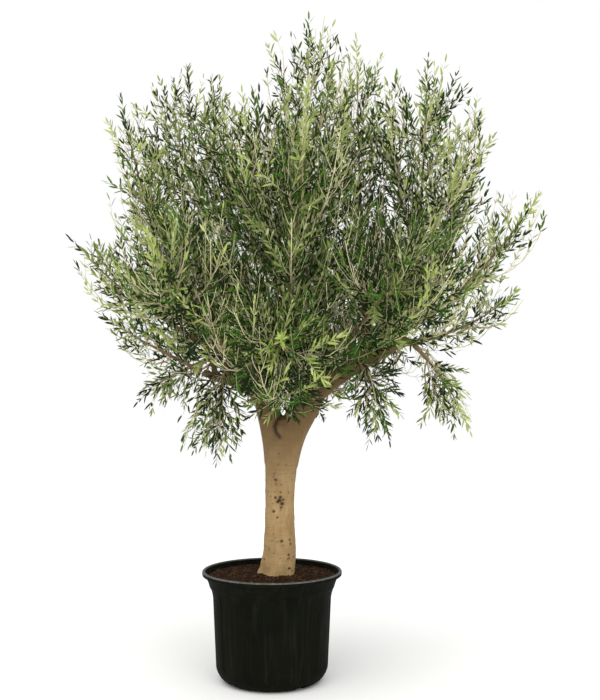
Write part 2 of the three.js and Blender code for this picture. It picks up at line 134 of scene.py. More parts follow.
def newMesh(name, points, faces, materials, faceMaterials=None, smooth=False):
    # points (n, 3), and a list of arrays of faces, each (m, 3) or (m, 4)
    corners = np.concatenate([group.ravel() for group in faces])
    sizes = np.concatenate([np.full(len(group), group.shape[1]) for group in faces])
    mesh = bpy.data.meshes.new(name)
    mesh.vertices.add(len(points))
    mesh.vertices.foreach_set("co", np.asarray(points, np.float32).ravel())
    mesh.loops.add(len(corners))
    mesh.loops.foreach_set("vertex_index", corners.astype(np.int32))
    mesh.polygons.add(len(sizes))
    mesh.polygons.foreach_set("loop_start", np.concatenate([[0], np.cumsum(sizes)[:-1]]).astype(np.int32))
    for material in materials:
        mesh.materials.append(material)
    if faceMaterials is not None:
        mesh.polygons.foreach_set("material_index", np.asarray(faceMaterials, np.int32))
    mesh.update(calc_edges=True)
    mesh.polygons.foreach_set("use_smooth", np.full(len(sizes), smooth))
    return placed(name, mesh)


def seatPiece(piece, slotName, *nodes):
    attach(piece, "root")
    if nodes:
        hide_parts(*nodes)


def gridFaces(rows, columns):
    # quads of a grid whose columns close on themselves
    row, column = np.meshgrid(np.arange(rows - 1), np.arange(columns), indexing="ij")
    following = (column + 1) % columns
    a, b = row * columns + column, row * columns + following
    return np.stack([a, b, b + columns, a + columns], -1).reshape(-1, 4)


def capped(points, count, foot, head):
    # rings of count points, closed by a fan to a middle point at each end
    ring, last = np.arange(count), len(points) - count
    after = (ring + 1) % count
    feet = np.stack([np.full(count, len(points)), after, ring], -1)
    heads = np.stack([np.full(count, len(points) + 1), last + ring, last + after], -1)
    return np.concatenate([points, [foot, head]]), [gridFaces(len(points) // count, count), feet, heads]


def tubes(paths, radii, sides):
    # closed tubes along many paths of the same number of points: paths (n, k, 3), radii (n, k)
    count, joints = radii.shape
    along = unit(np.gradient(paths, axis=1))
    whole = unit(paths[:, -1] - paths[:, 0])
    other = np.where(np.abs(whole[:, 2:]) > 0.8, [1.0, 0.0, 0.0], [0.0, 0.0, 1.0])
    side = unit(np.cross(along, other[:, None]))
    back = np.cross(along, side)
    angle = np.arange(sides) / sides * 2 * math.pi
    ring = side[:, :, None] * np.cos(angle)[:, None] + back[:, :, None] * np.sin(angle)[:, None]
    points = (paths[:, :, None] + ring * radii[:, :, None, None]).reshape(-1, 3)
    start = (np.arange(count) * joints * sides)[:, None, None]
    walls = gridFaces(joints, sides)[None] + start
    fan = np.array([[0, i + 1, i] for i in range(1, sides - 1)])
    feet = fan[None] + start
    heads = fan[None, :, ::-1] + start + (joints - 1) * sides
    return points, [walls.reshape(-1, 4), np.concatenate([feet, heads], 1).reshape(-1, 3)]


def taperedTubes(paths, ends, sides):
    # ends holds the radius at every root and the one at every tip
    radii = np.linspace(*ends, paths.shape[1])
    return tubes(paths, np.repeat(radii[None], len(paths), 0), sides)


def joinedParts(parts):
    points, groups, offset = [], {}, 0
    for partPoints, faces in parts:
        points.append(partPoints)
        for group in faces:
            groups.setdefault(group.shape[1], []).append(group + offset)
        offset += len(partPoints)
    return np.concatenate(points), [np.concatenate(group) for group in groups.values()]


# Materials

class Shader:
    # a node material: a principled surface and a few short calls to feed it
    def __init__(self, name):
        self.material = bpy.data.materials.new(name)
        self.material.use_nodes = True
        self.tree = self.material.node_tree
        self.surface = self.tree.nodes["Principled BSDF"]
        self.place = self.add("ShaderNodeTexCoord").outputs["Object"]

    def add(self, kind, **values):
        node = self.tree.nodes.new(kind)
        for key, value in values.items():
            if key in node.inputs:
                node.inputs[key].default_value = value
            else:
                setattr(node, key, value)
        return node

    def link(self, source, target):
        self.tree.links.new(source, target)

    def feed(self, target, value):
        # value is a colour, a number or a socket
        if isinstance(value, tuple):
            target.default_value = (*value, 1)
        elif isinstance(value, float):
            target.default_value = value
        else:
            self.link(value, target)

    def texture(self, kind, output, stretch, **values):
        mapping = self.add("ShaderNodeMapping", Scale=stretch)
        self.link(self.place, mapping.inputs["Vector"])
        node = self.add(kind, **values)
        self.link(mapping.outputs["Vector"], node.inputs["Vector"])
        return node.outputs[output]

    def noise(self, scale, detail=4.0, rough=0.55, stretch=(1, 1, 1)):
        return self.texture("ShaderNodeTexNoise", "Fac", stretch, Scale=scale, Detail=detail, Roughness=rough)

    def cells(self, scale, stretch=(1, 1, 1)):
        return self.texture("ShaderNodeTexVoronoi", "Distance", stretch, Scale=scale)

    def ramp(self, factor, low, high, start=0, end=1):
        # a number from start to end as factor goes from low to high
        limits = {"From Min": low, "From Max": high, "To Min": start, "To Max": end}
        node = self.add("ShaderNodeMapRange", **limits)
        self.link(factor, node.inputs["Value"])
        return node.outputs["Result"]

    def blend(self, factor, first, second):
        node = self.add("ShaderNodeMix", data_type="RGBA")
        self.link(factor, node.inputs["Factor"])
        self.feed(node.inputs[6], first)
        self.feed(node.inputs[7], second)
        return node.outputs[2]

    def finish(self, colour, roughness, bump=None, strength=0.3, distance=0.001, shine=0.5):
        self.feed(self.surface.inputs["Base Color"], colour)
        self.feed(self.surface.inputs["Roughness"], roughness)
        self.feed(self.surface.inputs["Specular IOR Level"], shine)
        if bump is not None:
            node = self.add("ShaderNodeBump", Strength=strength, Distance=distance)
            self.link(bump, node.inputs["Height"])
            self.link(node.outputs["Normal"], self.surface.inputs["Normal"])
        return self.material


def potPlasticMaterial(look):
    s = Shader("potPlastic")
    clouds = s.ramp(s.noise(9, 5), 0.35, 0.75)
    streaks = s.ramp(s.noise(60, 3, 0.6, (1, 1, 0.06)), 0.5, 0.85)
    colour = s.blend(clouds, look["black"], look["olive"])
    colour = s.blend(streaks, colour, look["dust"])
    rough = s.ramp(clouds, 0, 1, *look["roughness"])
    return s.finish(colour, rough, s.noise(520, 3), 0.12, 0.0006, look["shine"])


def rimHighlightMaterial(look):
    # painted highlight: the rolled edge is coloured far lighter than the pot's black, with lighter scuffs of
    # wear on it
    s = Shader("rimPaintedHighlight")
    scuffs = s.ramp(s.noise(55, 4, 0.6), 0.4, 0.75)
    colour = s.blend(scuffs, look["rim"], look["rimScuffAndHighlight"])
    rough = s.ramp(scuffs, 0, 1, 0.5, 0.7)
    return s.finish(colour, rough, s.noise(420, 3), 0.12, 0.0006, look["rimShine"])


def soilMaterial(look):
    s = Shader("pottingSoil")
    lumps = s.ramp(s.noise(26, 6, 0.65), 0.35, 0.7)
    crumbs = s.ramp(s.cells(150), 0.1, 0.6)
    colour = s.blend(lumps, look["damp"], look["dry"])
    colour = s.blend(s.ramp(crumbs, 0.5, 1, 0, 0.5), colour, look["dark"])
    return s.finish(colour, 0.95, crumbs, 0.7, 0.003, look["shine"])


def chipMaterial(name, first, second):
    s = Shader(name)
    grain = s.ramp(s.noise(90, 4, 0.6, (1, 1, 3)), 0.3, 0.7)
    return s.finish(s.blend(grain, first, second), 0.9, grain, 0.4, 0.001, soil["look"]["shine"])


def barkMaterial(look):
    s = Shader("oliveBark")
    height = s.add("ShaderNodeSeparateXYZ")
    s.link(s.place, height.inputs[0])
    # painted shade: the bark darkens to brown from the trunk up into the boughs, under the crown
    shadeUnderCrown = s.ramp(height.outputs["Z"], *look["heights"])
    patches = s.ramp(s.noise(11, 6, 0.6, (1, 1, 0.6)), 0.36, 0.68)
    fibres = s.noise(70, 6, 0.65, (1, 1, 0.16))
    wrinkles = s.noise(34, 4, 0.6, (0.5, 0.5, 3.2))
    specks = s.ramp(s.cells(95, (1, 1, 0.7)), 0.02, 0.16, 1, 0)
    colour = s.blend(patches, look["tan"], look["pale"])
    colour = s.blend(s.ramp(shadeUnderCrown, 0, 1, 0, 0.85), colour, look["brown"])
    colour = s.blend(s.ramp(fibres, 0.38, 0.78, 0, 0.50), colour, look["grey"])
    colour = s.blend(s.ramp(wrinkles, 0.50, 0.80, 0, 0.32), colour, look["brown"])
    colour = s.blend(s.ramp(specks, 0.4, 1, 0, 0.55), colour, look["pit"])
    # pitShade darkens the knots and pits (their own dark wood and painted shade in the hollows) and the
    # fork's crease (painted shade)
    shade = s.add("ShaderNodeAttribute", attribute_name="pitShade")
    colour = s.blend(shade.outputs["Fac"], colour, look["pit"])
    relief = s.add("ShaderNodeMath", operation="MULTIPLY_ADD")  # fibres x 0.7 + wrinkles
    s.link(fibres, relief.inputs[0])
    relief.inputs[1].default_value = 0.7
    s.link(wrinkles, relief.inputs[2])
    rough = s.ramp(patches, 0, 1, 0.8, 0.92)
    return s.finish(colour, rough, relief.outputs[0], 0.6, 0.003, look["shine"])


def twigMaterial(name, first, second):
    s = Shader(name)
    patches = s.ramp(s.noise(35, 4), 0.35, 0.65)
    return s.finish(s.blend(patches, first, second), 0.75, s.noise(300, 3), 0.3, 0.0006)


def leafMaterial(name, colour, shade, roughness, shine):
    s = Shader(name)
    patches = s.ramp(s.noise(14, 3), 0.35, 0.65)
    mottled = s.blend(patches, colour, tuple(c * shade for c in colour))
    rough = s.ramp(patches, 0, 1, roughness, roughness + 0.1)
    return s.finish(mottled, rough, s.noise(420, 2), 0.2, 0.0004, shine)


# The pot: a turned shell with a rolled rim, twelve shallow panels between broad ribs, and drain
# notches in the edge of its base. Turns are in degrees from the front towards +X.
pot = dict(
    height=0.470, rimRadius=0.300, lipHeight=0.020, flareRadius=0.286, collarHeight=0.400,
    neckRadius=0.250, neckHeight=0.347, flareCurve=1.6, ledge=0.0016,
    heelRadius=0.237, heelHeight=0.066, baseRadius=0.172, wall=0.006,
    ribs=12, ribTurn=-2.0, ribHalf=5.2, ribProud=0.003, ribBevel=0.6,
    ribFoot=(0.03, 0.07), ribTop=(0.40, 0.43),
    panelFoot=0.078, panelTop=0.397, panelBevel=0.003, seamHalf=(0.3, 0.9), seamProud=0.0009,
    notches=4, notchTurn=37.0, notchHalf=0.022, notchHeight=0.022, notchInner=0.146,
    lipRound=0.007, innerRound=0.005, segments=288,
    insideFoot=[(0.2310, 0.0660), (0.2100, 0.0300), (0.1660, 0.0060), (0.0400, 0.0060)],
    look=dict(
        black=(0.0036, 0.0042, 0.0025), olive=(0.0060, 0.0068, 0.0040), dust=(0.012, 0.013, 0.009),
        roughness=(0.62, 0.78), shine=0.03,
        # the rolled edge's two colours are a painted highlight, the lighter one also showing scuffs of wear
        rim=(0.060, 0.064, 0.054), rimScuffAndHighlight=(0.150, 0.152, 0.130), rimShine=0.25,
    ),
)
lipFoot = pot["height"] - pot["lipHeight"]


def flareRadius(z):
    # the collar swells from the neck to the lip
    share = np.clip((z - pot["neckHeight"]) / (lipFoot - pot["neckHeight"]), 0, 1) ** pot["flareCurve"]
    return mix(pot["neckRadius"], pot["flareRadius"], share)


def potProfile():
    # (radius, height) from the middle of the base up the outside, over the rim and down the inside, where
    # the rim starts in it and how many points the rim has
    height, ledge, neck = pot["height"], pot["collarHeight"], pot["neckHeight"]
    baseRadii = (0.04, 0.09, 0.13, pot["notchInner"] - 0.001, pot["notchInner"] + 0.001, 0.160)
    outside = [(radius, 0.0) for radius in baseRadii]
    outside += [
        (mix(pot["baseRadius"], pot["heelRadius"], math.sin(t)), pot["heelHeight"] * (1 - math.cos(t)))
        for t in np.linspace(0, math.pi / 2, 14)
    ]
    slope = (pot["neckRadius"] - pot["heelRadius"]) / (neck - pot["heelHeight"])
    for span in ((pot["heelHeight"] + 0.003, pot["panelFoot"] + 0.008, 7), (0.10, neck, 15)):
        outside += [(pot["heelRadius"] + slope * (z - pot["heelHeight"]), z) for z in np.linspace(*span)]
    # the rings are closest together at the ledge
    for span in ((neck + 0.005, ledge - 0.009, 7), (ledge - 0.007, ledge, 6), (ledge + 0.0012, lipFoot, 9)):
        outside += [(flareRadius(z), z) for z in np.linspace(*span)]
    # the lip: an upright band with a rounded shoulder, and the rolled edge that catches the light
    outer, roll, turnIn = pot["rimRadius"], pot["lipRound"], pot["innerRound"]
    rim = [(pot["flareRadius"] + 0.004, lipFoot - 0.0004)]
    rim += [(outer - 0.0035, lipFoot), (outer - 0.001, lipFoot + 0.002)]
    rim += [
        (outer - roll + roll * math.cos(t), height - roll + roll * math.sin(t))
        for t in np.linspace(0, math.pi / 2, 7)
    ]
    rim += [
        (outer - roll - 0.001 - turnIn * math.sin(t), height - turnIn + turnIn * math.cos(t))
        for t in np.linspace(0.3, math.pi / 2, 4)
    ]
    inside = [(flareRadius(z) - pot["wall"], z) for z in np.linspace(lipFoot, neck, 9)] + pot["insideFoot"]
    return outside + rim + inside, len(outside), len(rim)


def awayFrom(turns, first, count):
    # degrees from each turn to the nearest of count places evenly round the pot
    step = 360 / count
    return np.abs((np.degrees(turns) - first + step / 2) % step - step / 2)


def buildPot():
    profile, rimStart, rimRings = potProfile()
    profile = np.array(profile)
    count = pot["segments"]
    turns = np.arange(count) / count * 2 * math.pi
    radius = np.repeat(profile[:, :1], count, 1)
    height = np.repeat(profile[:, 1:], count, 1)
    outside = np.arange(len(profile))[:, None] < rimStart
    # ribs stand proud of the panels, and so do the bands above and below them
    offset = awayFrom(turns, pot["ribTurn"], pot["ribs"])
    between = smoothStep(offset, pot["ribHalf"] - pot["ribBevel"], pot["ribHalf"] + pot["ribBevel"])[None]
    bevel = pot["panelBevel"]
    inPanel = smoothStep(height, pot["panelFoot"] - bevel, pot["panelFoot"] + bevel)
    inPanel = inPanel * (1 - smoothStep(height, pot["panelTop"] - bevel, pot["panelTop"] + bevel))
    onWall = outside & (height >= pot["heelHeight"] * 0.5)
    ledge = smoothStep(height, pot["collarHeight"] - 0.0004, pot["collarHeight"] + 0.0010)
    proud = pot["ribProud"] * smoothStep(height, *pot["ribFoot"]) * (1 - smoothStep(height, *pot["ribTop"]))
    radius = radius + np.where(outside, pot["ledge"] * ledge, 0)
    radius = radius + np.where(onWall, proud * (1 - between * inPanel), 0)
    # a slim seam stands in the middle of each panel
    seam = 1 - smoothStep(np.abs(offset - 180 / pot["ribs"]), *pot["seamHalf"])[None]
    radius = radius + np.where(onWall, pot["seamProud"] * seam * inPanel, 0)
    # drain notches
    swing = awayFrom(turns, pot["notchTurn"], pot["notches"])
    across = np.radians(swing)[None] * np.maximum(radius, 0.1)
    inNotch = 1 - smoothStep(across, pot["notchHalf"] - 0.004, pot["notchHalf"] + 0.003)
    low = outside & (profile[:, :1] > pot["notchInner"])
    height = np.where(low, np.maximum(height, pot["notchHeight"] * inNotch), height)
    points = np.stack([np.sin(turns) * radius, -np.cos(turns) * radius, height], -1).reshape(-1, 3)
    points, faces = capped(points, count, [0, 0, 0], [0, 0, profile[-1, 1]])
    marks = np.zeros(sum(len(group) for group in faces), int)
    # the rolled edge takes the rim material, whose lighter colour is a painted highlight
    marks[(rimStart + 4) * count:(rimStart + rimRings - 1) * count] = 1  # the rolled edge
    materials = [potPlasticMaterial(pot["look"]), rimHighlightMaterial(pot["look"])]
    piece = newMesh("nurseryPot", points, faces, materials, marks, smooth=True)
    seatPiece(piece, "pot_plastic", "pot")
    print("pot:", len(piece.data.polygons), "faces")


# The soil: rough, highest at the trunk and sunk a little at the wall, with chips of bark in it.
soil = dict(
    level=0.4560, edgeLevel=0.446, flatRadius=0.118, edgeRadius=0.2770, rings=64, segments=200,
    below=[(0.02, 0.0064), (0.1655, 0.0064), (0.209, 0.031), (0.2303, 0.0663)], wallTop=0.434, wallGap=0.0004,
    roughness=0.0040, lumps=28, chips=1500, chipSize=(0.003, 0.010), chipWidth=0.4, chipDepth=0.16,
    chipRise=0.05, chipSpread=0.97, chipTilt=(0.35, 0.3), chipBevel=(0.6, 1.1),
    look=dict(
        damp=(0.017, 0.0085, 0.0045), dry=(0.046, 0.023, 0.011), dark=(0.006, 0.004, 0.0025), shine=0.08,
    ),
    chipTones=dict(
        chipsRed=((0.050, 0.022, 0.010), (0.022, 0.011, 0.006)),
        chipsPale=((0.100, 0.056, 0.028), (0.046, 0.024, 0.012)),
    ),
)


def soilHeight(x, y):
    out = smoothStep(np.hypot(x, y), soil["flatRadius"] * 0.8, soil["edgeRadius"])
    bank = mix(soil["level"], soil["edgeLevel"], out)
    places = zip(np.ravel(x) * soil["lumps"], np.ravel(y) * soil["lumps"])
    lumps = np.array([noise.fractal(Vector((a, b, 0.3)), 1.0, 2.1, 5) for a, b in places])
    return bank + lumps.reshape(np.shape(x)) * soil["roughness"]


def buildSoil():
    count = soil["segments"]
    turns = np.arange(count) / count * 2 * math.pi
    radii = soil["edgeRadius"] * np.linspace(1, 0.03, soil["rings"]) ** 0.9
    x, y = radii[:, None] * np.cos(turns), radii[:, None] * np.sin(turns)
    top = np.stack([x, y, soilHeight(x, y)], -1)
    wallHeights = np.linspace(pot["neckHeight"], soil["wallTop"], 6)
    below = soil["below"] + [(flareRadius(z) - pot["wall"] - soil["wallGap"], z) for z in wallHeights]
    under = np.array([[(r * math.cos(t), r * math.sin(t), z) for t in turns] for r, z in below])
    points = np.concatenate([under, top]).reshape(-1, 3)
    points, faces = capped(points, count, [0, 0, below[0][1]], [0, 0, soil["level"]])
    piece = newMesh("pottingSoil", points, faces, [soilMaterial(soil["look"])], smooth=True)
    seatPiece(piece, "soil", "soil")


def buildChips():
    # they lie about in every direction, half sunk
    random = np.random.default_rng(5)
    count = soil["chips"]
    radius = soil["edgeRadius"] * soil["chipSpread"] * np.sqrt(random.uniform(0.02, 1, count))
    turn = random.uniform(0, 2 * math.pi, count)
    x, y = radius * np.cos(turn), radius * np.sin(turn)
    centre = np.stack([x, y, soilHeight(x, y)], -1)
    pitch, roll = soil["chipTilt"]
    along = unit(np.stack([random.normal(size=count) * steep for steep in (1, 1, pitch)], -1))
    side = unit(np.cross(along, up + random.normal(size=(count, 3)) * roll))
    lift = np.cross(side, along)
    size = random.uniform(*soil["chipSize"], count)[:, None]
    corners = []
    for a, b, c in product((-1, 1), repeat=3):
        jitter = random.uniform(*soil["chipBevel"], (count, 3))
        ahead = along * a * size * jitter[:, :1]
        aside = side * b * size * soil["chipWidth"] * jitter[:, 1:2]
        above = lift * (c * soil["chipDepth"] * jitter[:, 2:] + soil["chipRise"]) * size
        corners.append(centre + ahead + aside + above)
    points = np.stack(corners, 1)
    box = np.array([[0, 1, 3, 2], [4, 6, 7, 5], [0, 4, 5, 1], [2, 3, 7, 6], [0, 2, 6, 4], [1, 5, 7, 3]])
    for tone, (name, colours) in enumerate(soil["chipTones"].items()):
        chosen = points[tone::2]
        faces = (box[None] + (np.arange(len(chosen)) * 8)[:, None, None]).reshape(-1, 4)
        piece = newMesh(name, chosen.reshape(-1, 3), [faces], [chipMaterial(name, *colours)])
        seatPiece(piece, "soil")
    print("soil and chips")


# The trunk: height, how far it has wandered to +X, and its radius.
trunk = dict(
    stations=[
        (0.455, 0.019, 0.080), (0.482, 0.027, 0.075), (0.560, 0.033, 0.069), (0.680, 0.033, 0.064),
        (0.800, 0.033, 0.063), (0.920, 0.037, 0.067), (1.010, 0.042, 0.071), (1.075, 0.046, 0.066),
        (1.118, 0.048, 0.050),
    ],
    flareLobes=5, flareDepth=0.007, flareHeight=0.110,
)
horns = dict(
    left=dict(path=[(0.022, 0, 0.930), (0.012, 0, 1.060), (-0.017, 0, 1.154)], root=0.056, tip=0.052),
    right=dict(path=[(0.048, 0, 0.920), (0.066, 0, 1.040), (0.144, 0, 1.176)], root=0.062, tip=0.065),
)

# The boughs: the parent of each, the share of the parent's length that it leaves at, and its tip. The
# first two carry on from the horns.
boughs = dict(
    left=("", 1, (-0.280, 0.140, 1.640)),
    right=("", 1, (0.467, -0.030, 1.405)),
    right_top=("right", 1, (0.610, -0.080, 1.680)),
    middle=("right", 0.16, (0.040, -0.110, 1.640)),
    back=("right", 0.08, (0.130, 0.300, 1.520)),
    front=("left", 0.16, (0.060, -0.300, 1.460)),
    top=("middle", 0.62, (0.140, 0.000, 1.840)),
    top_right=("right", 0.72, (0.400, 0.130, 1.700)),
    left_top=("left", 0.7, (-0.410, 0.000, 1.620)),
    left_far=("left", 0.42, (-0.360, -0.020, 1.480)),
    left_low=("left", 0.1, (-0.290, -0.090, 1.320)),
    left_hang=("left_low", 0.55, (-0.190, -0.190, 1.340)),
    left_drop=("left_low", 0.75, (-0.290, 0.060, 1.370)),
    front_left=("left", 0.36, (-0.200, -0.250, 1.450)),
    back_left=("left", 0.45, (-0.220, 0.300, 1.500)),
    right_upper=("right_top", 0.6, (0.700, 0.000, 1.680)),
    right_far=("right_top", 0.4, (0.700, -0.030, 1.580)),
    right_mid=("right_top", 0.2, (0.640, 0.070, 1.450)),
    right_hang=("right", 0.88, (0.600, -0.110, 1.435)),
    under_right=("right", 0.5, (0.370, -0.170, 1.370)),
    front_right=("right", 0.6, (0.330, -0.280, 1.470)),
    back_right=("right", 0.82, (0.470, 0.290, 1.500)),
    back_low=("back", 0.35, (0.110, 0.260, 1.320)),
    front_low=("front", 0.4, (0.020, -0.250, 1.380)),
)

# The foliage on a bough's tip: the reach of its furthest leaf, its half width, and whether its twigs
# turn up (1) or hang (-1).
masses = dict(
    left=((-0.411, 0.350, 2.761), 0.350, 1),
    right_top=((0.639, -0.320, 2.617), 0.305, 1),
    middle=((-0.114, -0.420, 2.452), 0.370, 1),
    back=((0.110, 0.640, 2.560), 0.390, 1),
    front=((0.150, -0.760, 2.380), 0.370, 1),
    top=((0.159, 0.000, 2.879), 0.255, 1),
    top_right=((0.382, 0.330, 2.865), 0.205, 1),
    left_top=((-0.640, -0.100, 2.480), 0.175, 1),
    left_far=((-0.865, -0.050, 1.887), 0.185, 0.6),
    left_low=((-0.728, -0.100, 1.560), 0.160, 0.2),
    left_hang=((-0.215, -0.330, 0.950), 0.195, -1),
    left_drop=((-0.600, 0.090, 1.190), 0.155, -0.6),
    front_left=((-0.440, -0.760, 1.830), 0.370, 0.8),
    back_left=((-0.440, 0.780, 2.000), 0.370, 0.8),
    right_upper=((0.915, 0.150, 2.540), 0.155, 1),
    right_far=((1.165, 0.000, 2.100), 0.165, 0.8),
    right_mid=((1.093, 0.100, 1.684), 0.160, 0.8),
    right_hang=((0.835, -0.150, 1.070), 0.190, -1),
    under_right=((0.489, -0.260, 1.030), 0.175, -1),
    front_right=((0.570, -0.760, 1.880), 0.360, 0.8),
    back_right=((0.700, 0.760, 1.980), 0.370, 0.8),
    back_low=((0.130, 0.820, 1.400), 0.350, -0.3),
    front_low=((0.060, -0.800, 1.440), 0.350, -0.3),
)

limb = dict(tipRadius=0.013, rightTip=0.031, shareOfParent=0.62, taper=0.85, handle=0.36, seatGap=0.0003)

# The stem of a mass; shown holds its radius at the bough and at its tip.
stem = dict(links=4, arch=0.13, leafShares=(0.35, 0.63, 0.9), shown=(0.011, 0.0028))

# Twigs stand round the stem. Each is tried at a few turns and lengths, and keeps the roomiest.
twig = dict(
    spacing=0.165, least=5, links=2, first=0.08, last=0.86, sweep=0.75, lift=0.3,
    turn=math.radians(137.5), turnTries=[math.radians(t) for t in (0, 25, -25, 50, -50)],
    lengthTries=(1, 0.8, 0.6, 0.4), firstPair=0.050, pairSpacing=0.092, bareFoot=0.035,
    shown=(0.0042, 0.0016),
)

# A spray stands in each place where the solids have one large leaf.
spray = dict(
    fullSpread=0.390, leastSize=0.40, length=0.225, width=0.060, splay=math.radians(46),
    room=0.024, woodRoom=0.016,
)
space = dict(domeFoot=0.4, stemMargin=0.007, limbMargin=0.005)


def trunkAt(z):
    heights, shifts, radii = np.array(trunk["stations"]).T
    link = np.clip(np.searchsorted(heights, z - 1e-9), 1, len(heights) - 1)
    share = smoothStep(z, heights[link - 1], heights[link])
    return mix(shifts[link - 1], shifts[link], share), mix(radii[link - 1], radii[link], share)


def sizeOf(spread):
    return mix(spray["leastSize"], 1, spread / spray["fullSpread"])


def stemCurve(tip, reach, spread, lift):
    tip, reach = np.array(tip), np.array(reach)
    bend = (tip + reach) / 2 - up * lift * stem["arch"] * np.linalg.norm(reach - tip)
    start = tip + unit(bend - tip) * limb["seatGap"]
    end = reach - unit(reach - bend) * spray["length"] * sizeOf(spread)
    return Curve([start, bend, end], stem["links"])


def layOut():
    # each bough's centreline and radii come from its parent's
    laid = {}
    for name, (parent, at, tip) in boughs.items():
        tip = np.array(tip)
        if parent:
            source, sourceRadius = laid[parent]["curve"], laid[parent]["radiusAt"](at)
        else:
            source, sourceRadius = Curve(horns[name]["path"], 4), horns[name]["tip"]
        start, heading = source.chainAt(at)[0], source.tangentAt(at)[0]
        rootRadius = sourceRadius
        if at == 1:
            start = start + heading * limb["seatGap"]
        else:
            rootRadius = sourceRadius * limb["shareOfParent"]
            heading = unit(mix(heading, unit(tip - start), 0.6))
        handle = limb["handle"] * np.linalg.norm(tip - start)
        leave = start + heading * handle
        arriving = stemCurve(tip, *masses[name]).tangentAt(0)[0] if name in masses else unit(tip - leave)
        tipRadius = limb["rightTip"] if name == "right" else limb["tipRadius"]
        rootRadius = max(rootRadius, tipRadius)

        def radiusAt(share, tipRadius=tipRadius, rootRadius=rootRadius):
            return mix(tipRadius, rootRadius, (1 - share) ** limb["taper"])

        curve = Curve([start, leave, tip - arriving * handle, tip], 3 if parent else 5)
        laid[name] = dict(curve=curve, radiusAt=radiusAt, isCarriedOn=at == 1)
    return laid


limbs = layOut()
plumes = []
for i, (name, (reach, spread, lift)) in enumerate(masses.items()):
    tip = np.array(boughs[name][2])
    plumes.append(dict(
        name=name, index=i, seed=11 + i, turn=i * 1.7, tip=tip, reach=np.array(reach), spread=spread,
        lift=lift, curve=stemCurve(tip, reach, spread, lift),
    ))

limbSamples = np.array([laid["curve"].samples() for laid in limbs.values()])
shares = np.linspace(0, 1, limbSamples.shape[1])
limbRadii = np.array([laid["radiusAt"](shares) for laid in limbs.values()])
stemSamples = np.array([plume["curve"].samples() for plume in plumes])


# Bark: the trunk and every bough as one skin, with its swellings, its pits and the seam of the fork.
bark = dict(
    voxel=0.0048, smoothing=9, foot=0.440, trunkRings=48, trunkSides=40, hornRings=20, hornSides=26,
    limbRings=34, limbSides=18, wander=0.006, collar=0.45, collarLength=0.035,
    swell=0.0026, ripple=0.0011, rippleTop=(0.6, 1.0), fibre=0.0006, trunkTop=(1.16, 1.24),
    # knots and pits by turn from the front towards +X in degrees, height and radius
    knots=[
        (-18, 0.862, 0.008), (4, 0.809, 0.006), (-16, 0.786, 0.009), (0, 0.774, 0.014), (10, 0.760, 0.013),
        (3, 0.788, 0.010), (-7, 0.768, 0.010), (14, 0.777, 0.008), (6, 0.745, 0.008),
        (-24, 0.727, 0.010), (-9, 0.702, 0.007), (8, 0.602, 0.009), (40, 0.606, 0.007), (43, 0.588, 0.007),
        (36, 0.542, 0.008), (38, 0.528, 0.006), (60, 0.530, 0.006), (-62, 0.520, 0.007), (41, 0.484, 0.008),
        (52, 0.473, 0.007), (88, 0.694, 0.007), (72, 0.790, 0.007), (-88, 0.719, 0.010), (-86, 0.683, 0.009),
    ],
    smallPits=90, pitHeights=(0.47, 0.99), pitRadii=(0.003, 0.0055), knotDepth=0.62, knotRim=0.22,
    seam=[(0.070, 1.175), (0.046, 1.145), (0.022, 1.115), (0.011, 1.088), (0.016, 1.064), (0.034, 1.043)],
    seamWidth=0.0080, seamDepth=0.0060, seamFade=(1.005, 1.06), seamSpan=(0.98, 1.22),
    look=dict(
        # brown is also the painted shade that the bark darkens to between heights, towards the boughs
        tan=(0.345, 0.215, 0.090), pale=(0.500, 0.348, 0.168), brown=(0.078, 0.044, 0.017),
        # pit colours the specks and the knots' own dark wood, and is also the painted shade in the hollows
        # and in the fork's crease
        grey=(0.205, 0.135, 0.064), pit=(0.022, 0.012, 0.007), heights=(0.72, 1.18), shine=0.25,
    ),
)


def trunkTube():
    sides = bark["trunkSides"]
    turns = np.arange(sides) / sides * 2 * math.pi
    sine, cosine = np.sin(turns), np.cos(turns)
    ground = trunk["stations"][0][0]
    rings = []
    for z in np.linspace(bark["foot"], trunk["stations"][-1][0], bark["trunkRings"]):
        shift, radius = trunkAt(max(z, ground))
        fade = max(0, 1 - (z - ground) / trunk["flareHeight"])
        around = radius + trunk["flareDepth"] * min(fade, 1) ** 2 * np.cos(trunk["flareLobes"] * turns + 1.2)
        rings.append(np.stack([shift + sine * around, -cosine * around, np.full(sides, z)], -1))
    return capped(np.concatenate(rings), sides, rings[0].mean(0), rings[-1].mean(0))


def barkTubes():
    # closed tubes, which the remesh then joins into one skin
    random = np.random.default_rng(21)
    made = [trunkTube()]
    share = np.linspace(0, 1, bark["hornRings"])
    for horn in horns.values():
        path = Curve(horn["path"]).curveAt(share)
        path = np.concatenate([path, path[-1:] + unit(path[-1:] - path[-2:-1]) * 0.012])
        radii = mix(horn["root"], horn["tip"], np.append(share, 1))
        made.append(tubes(path[None], radii[None], bark["hornSides"]))
    share = np.linspace(0, 1, bark["limbRings"])
    for laid in limbs.values():
        path = laid["curve"].curveAt(share)
        drift = np.cumsum(random.normal(size=path.shape), 0)
        drift -= mix(drift[:1], drift[-1:], share[:, None])
        drift *= bark["wander"] / max(np.abs(drift).max(), 1e-6)
        radii = laid["radiusAt"](share)
        if not laid["isCarriedOn"]:  # a collar where it leaves its parent
            away = share * np.linalg.norm(path[-1] - path[0])
            radii = radii * (1 + bark["collar"] * np.exp(-away / bark["collarLength"]))
        made.append(tubes((path + drift)[None], radii[None], bark["limbSides"]))
    return made


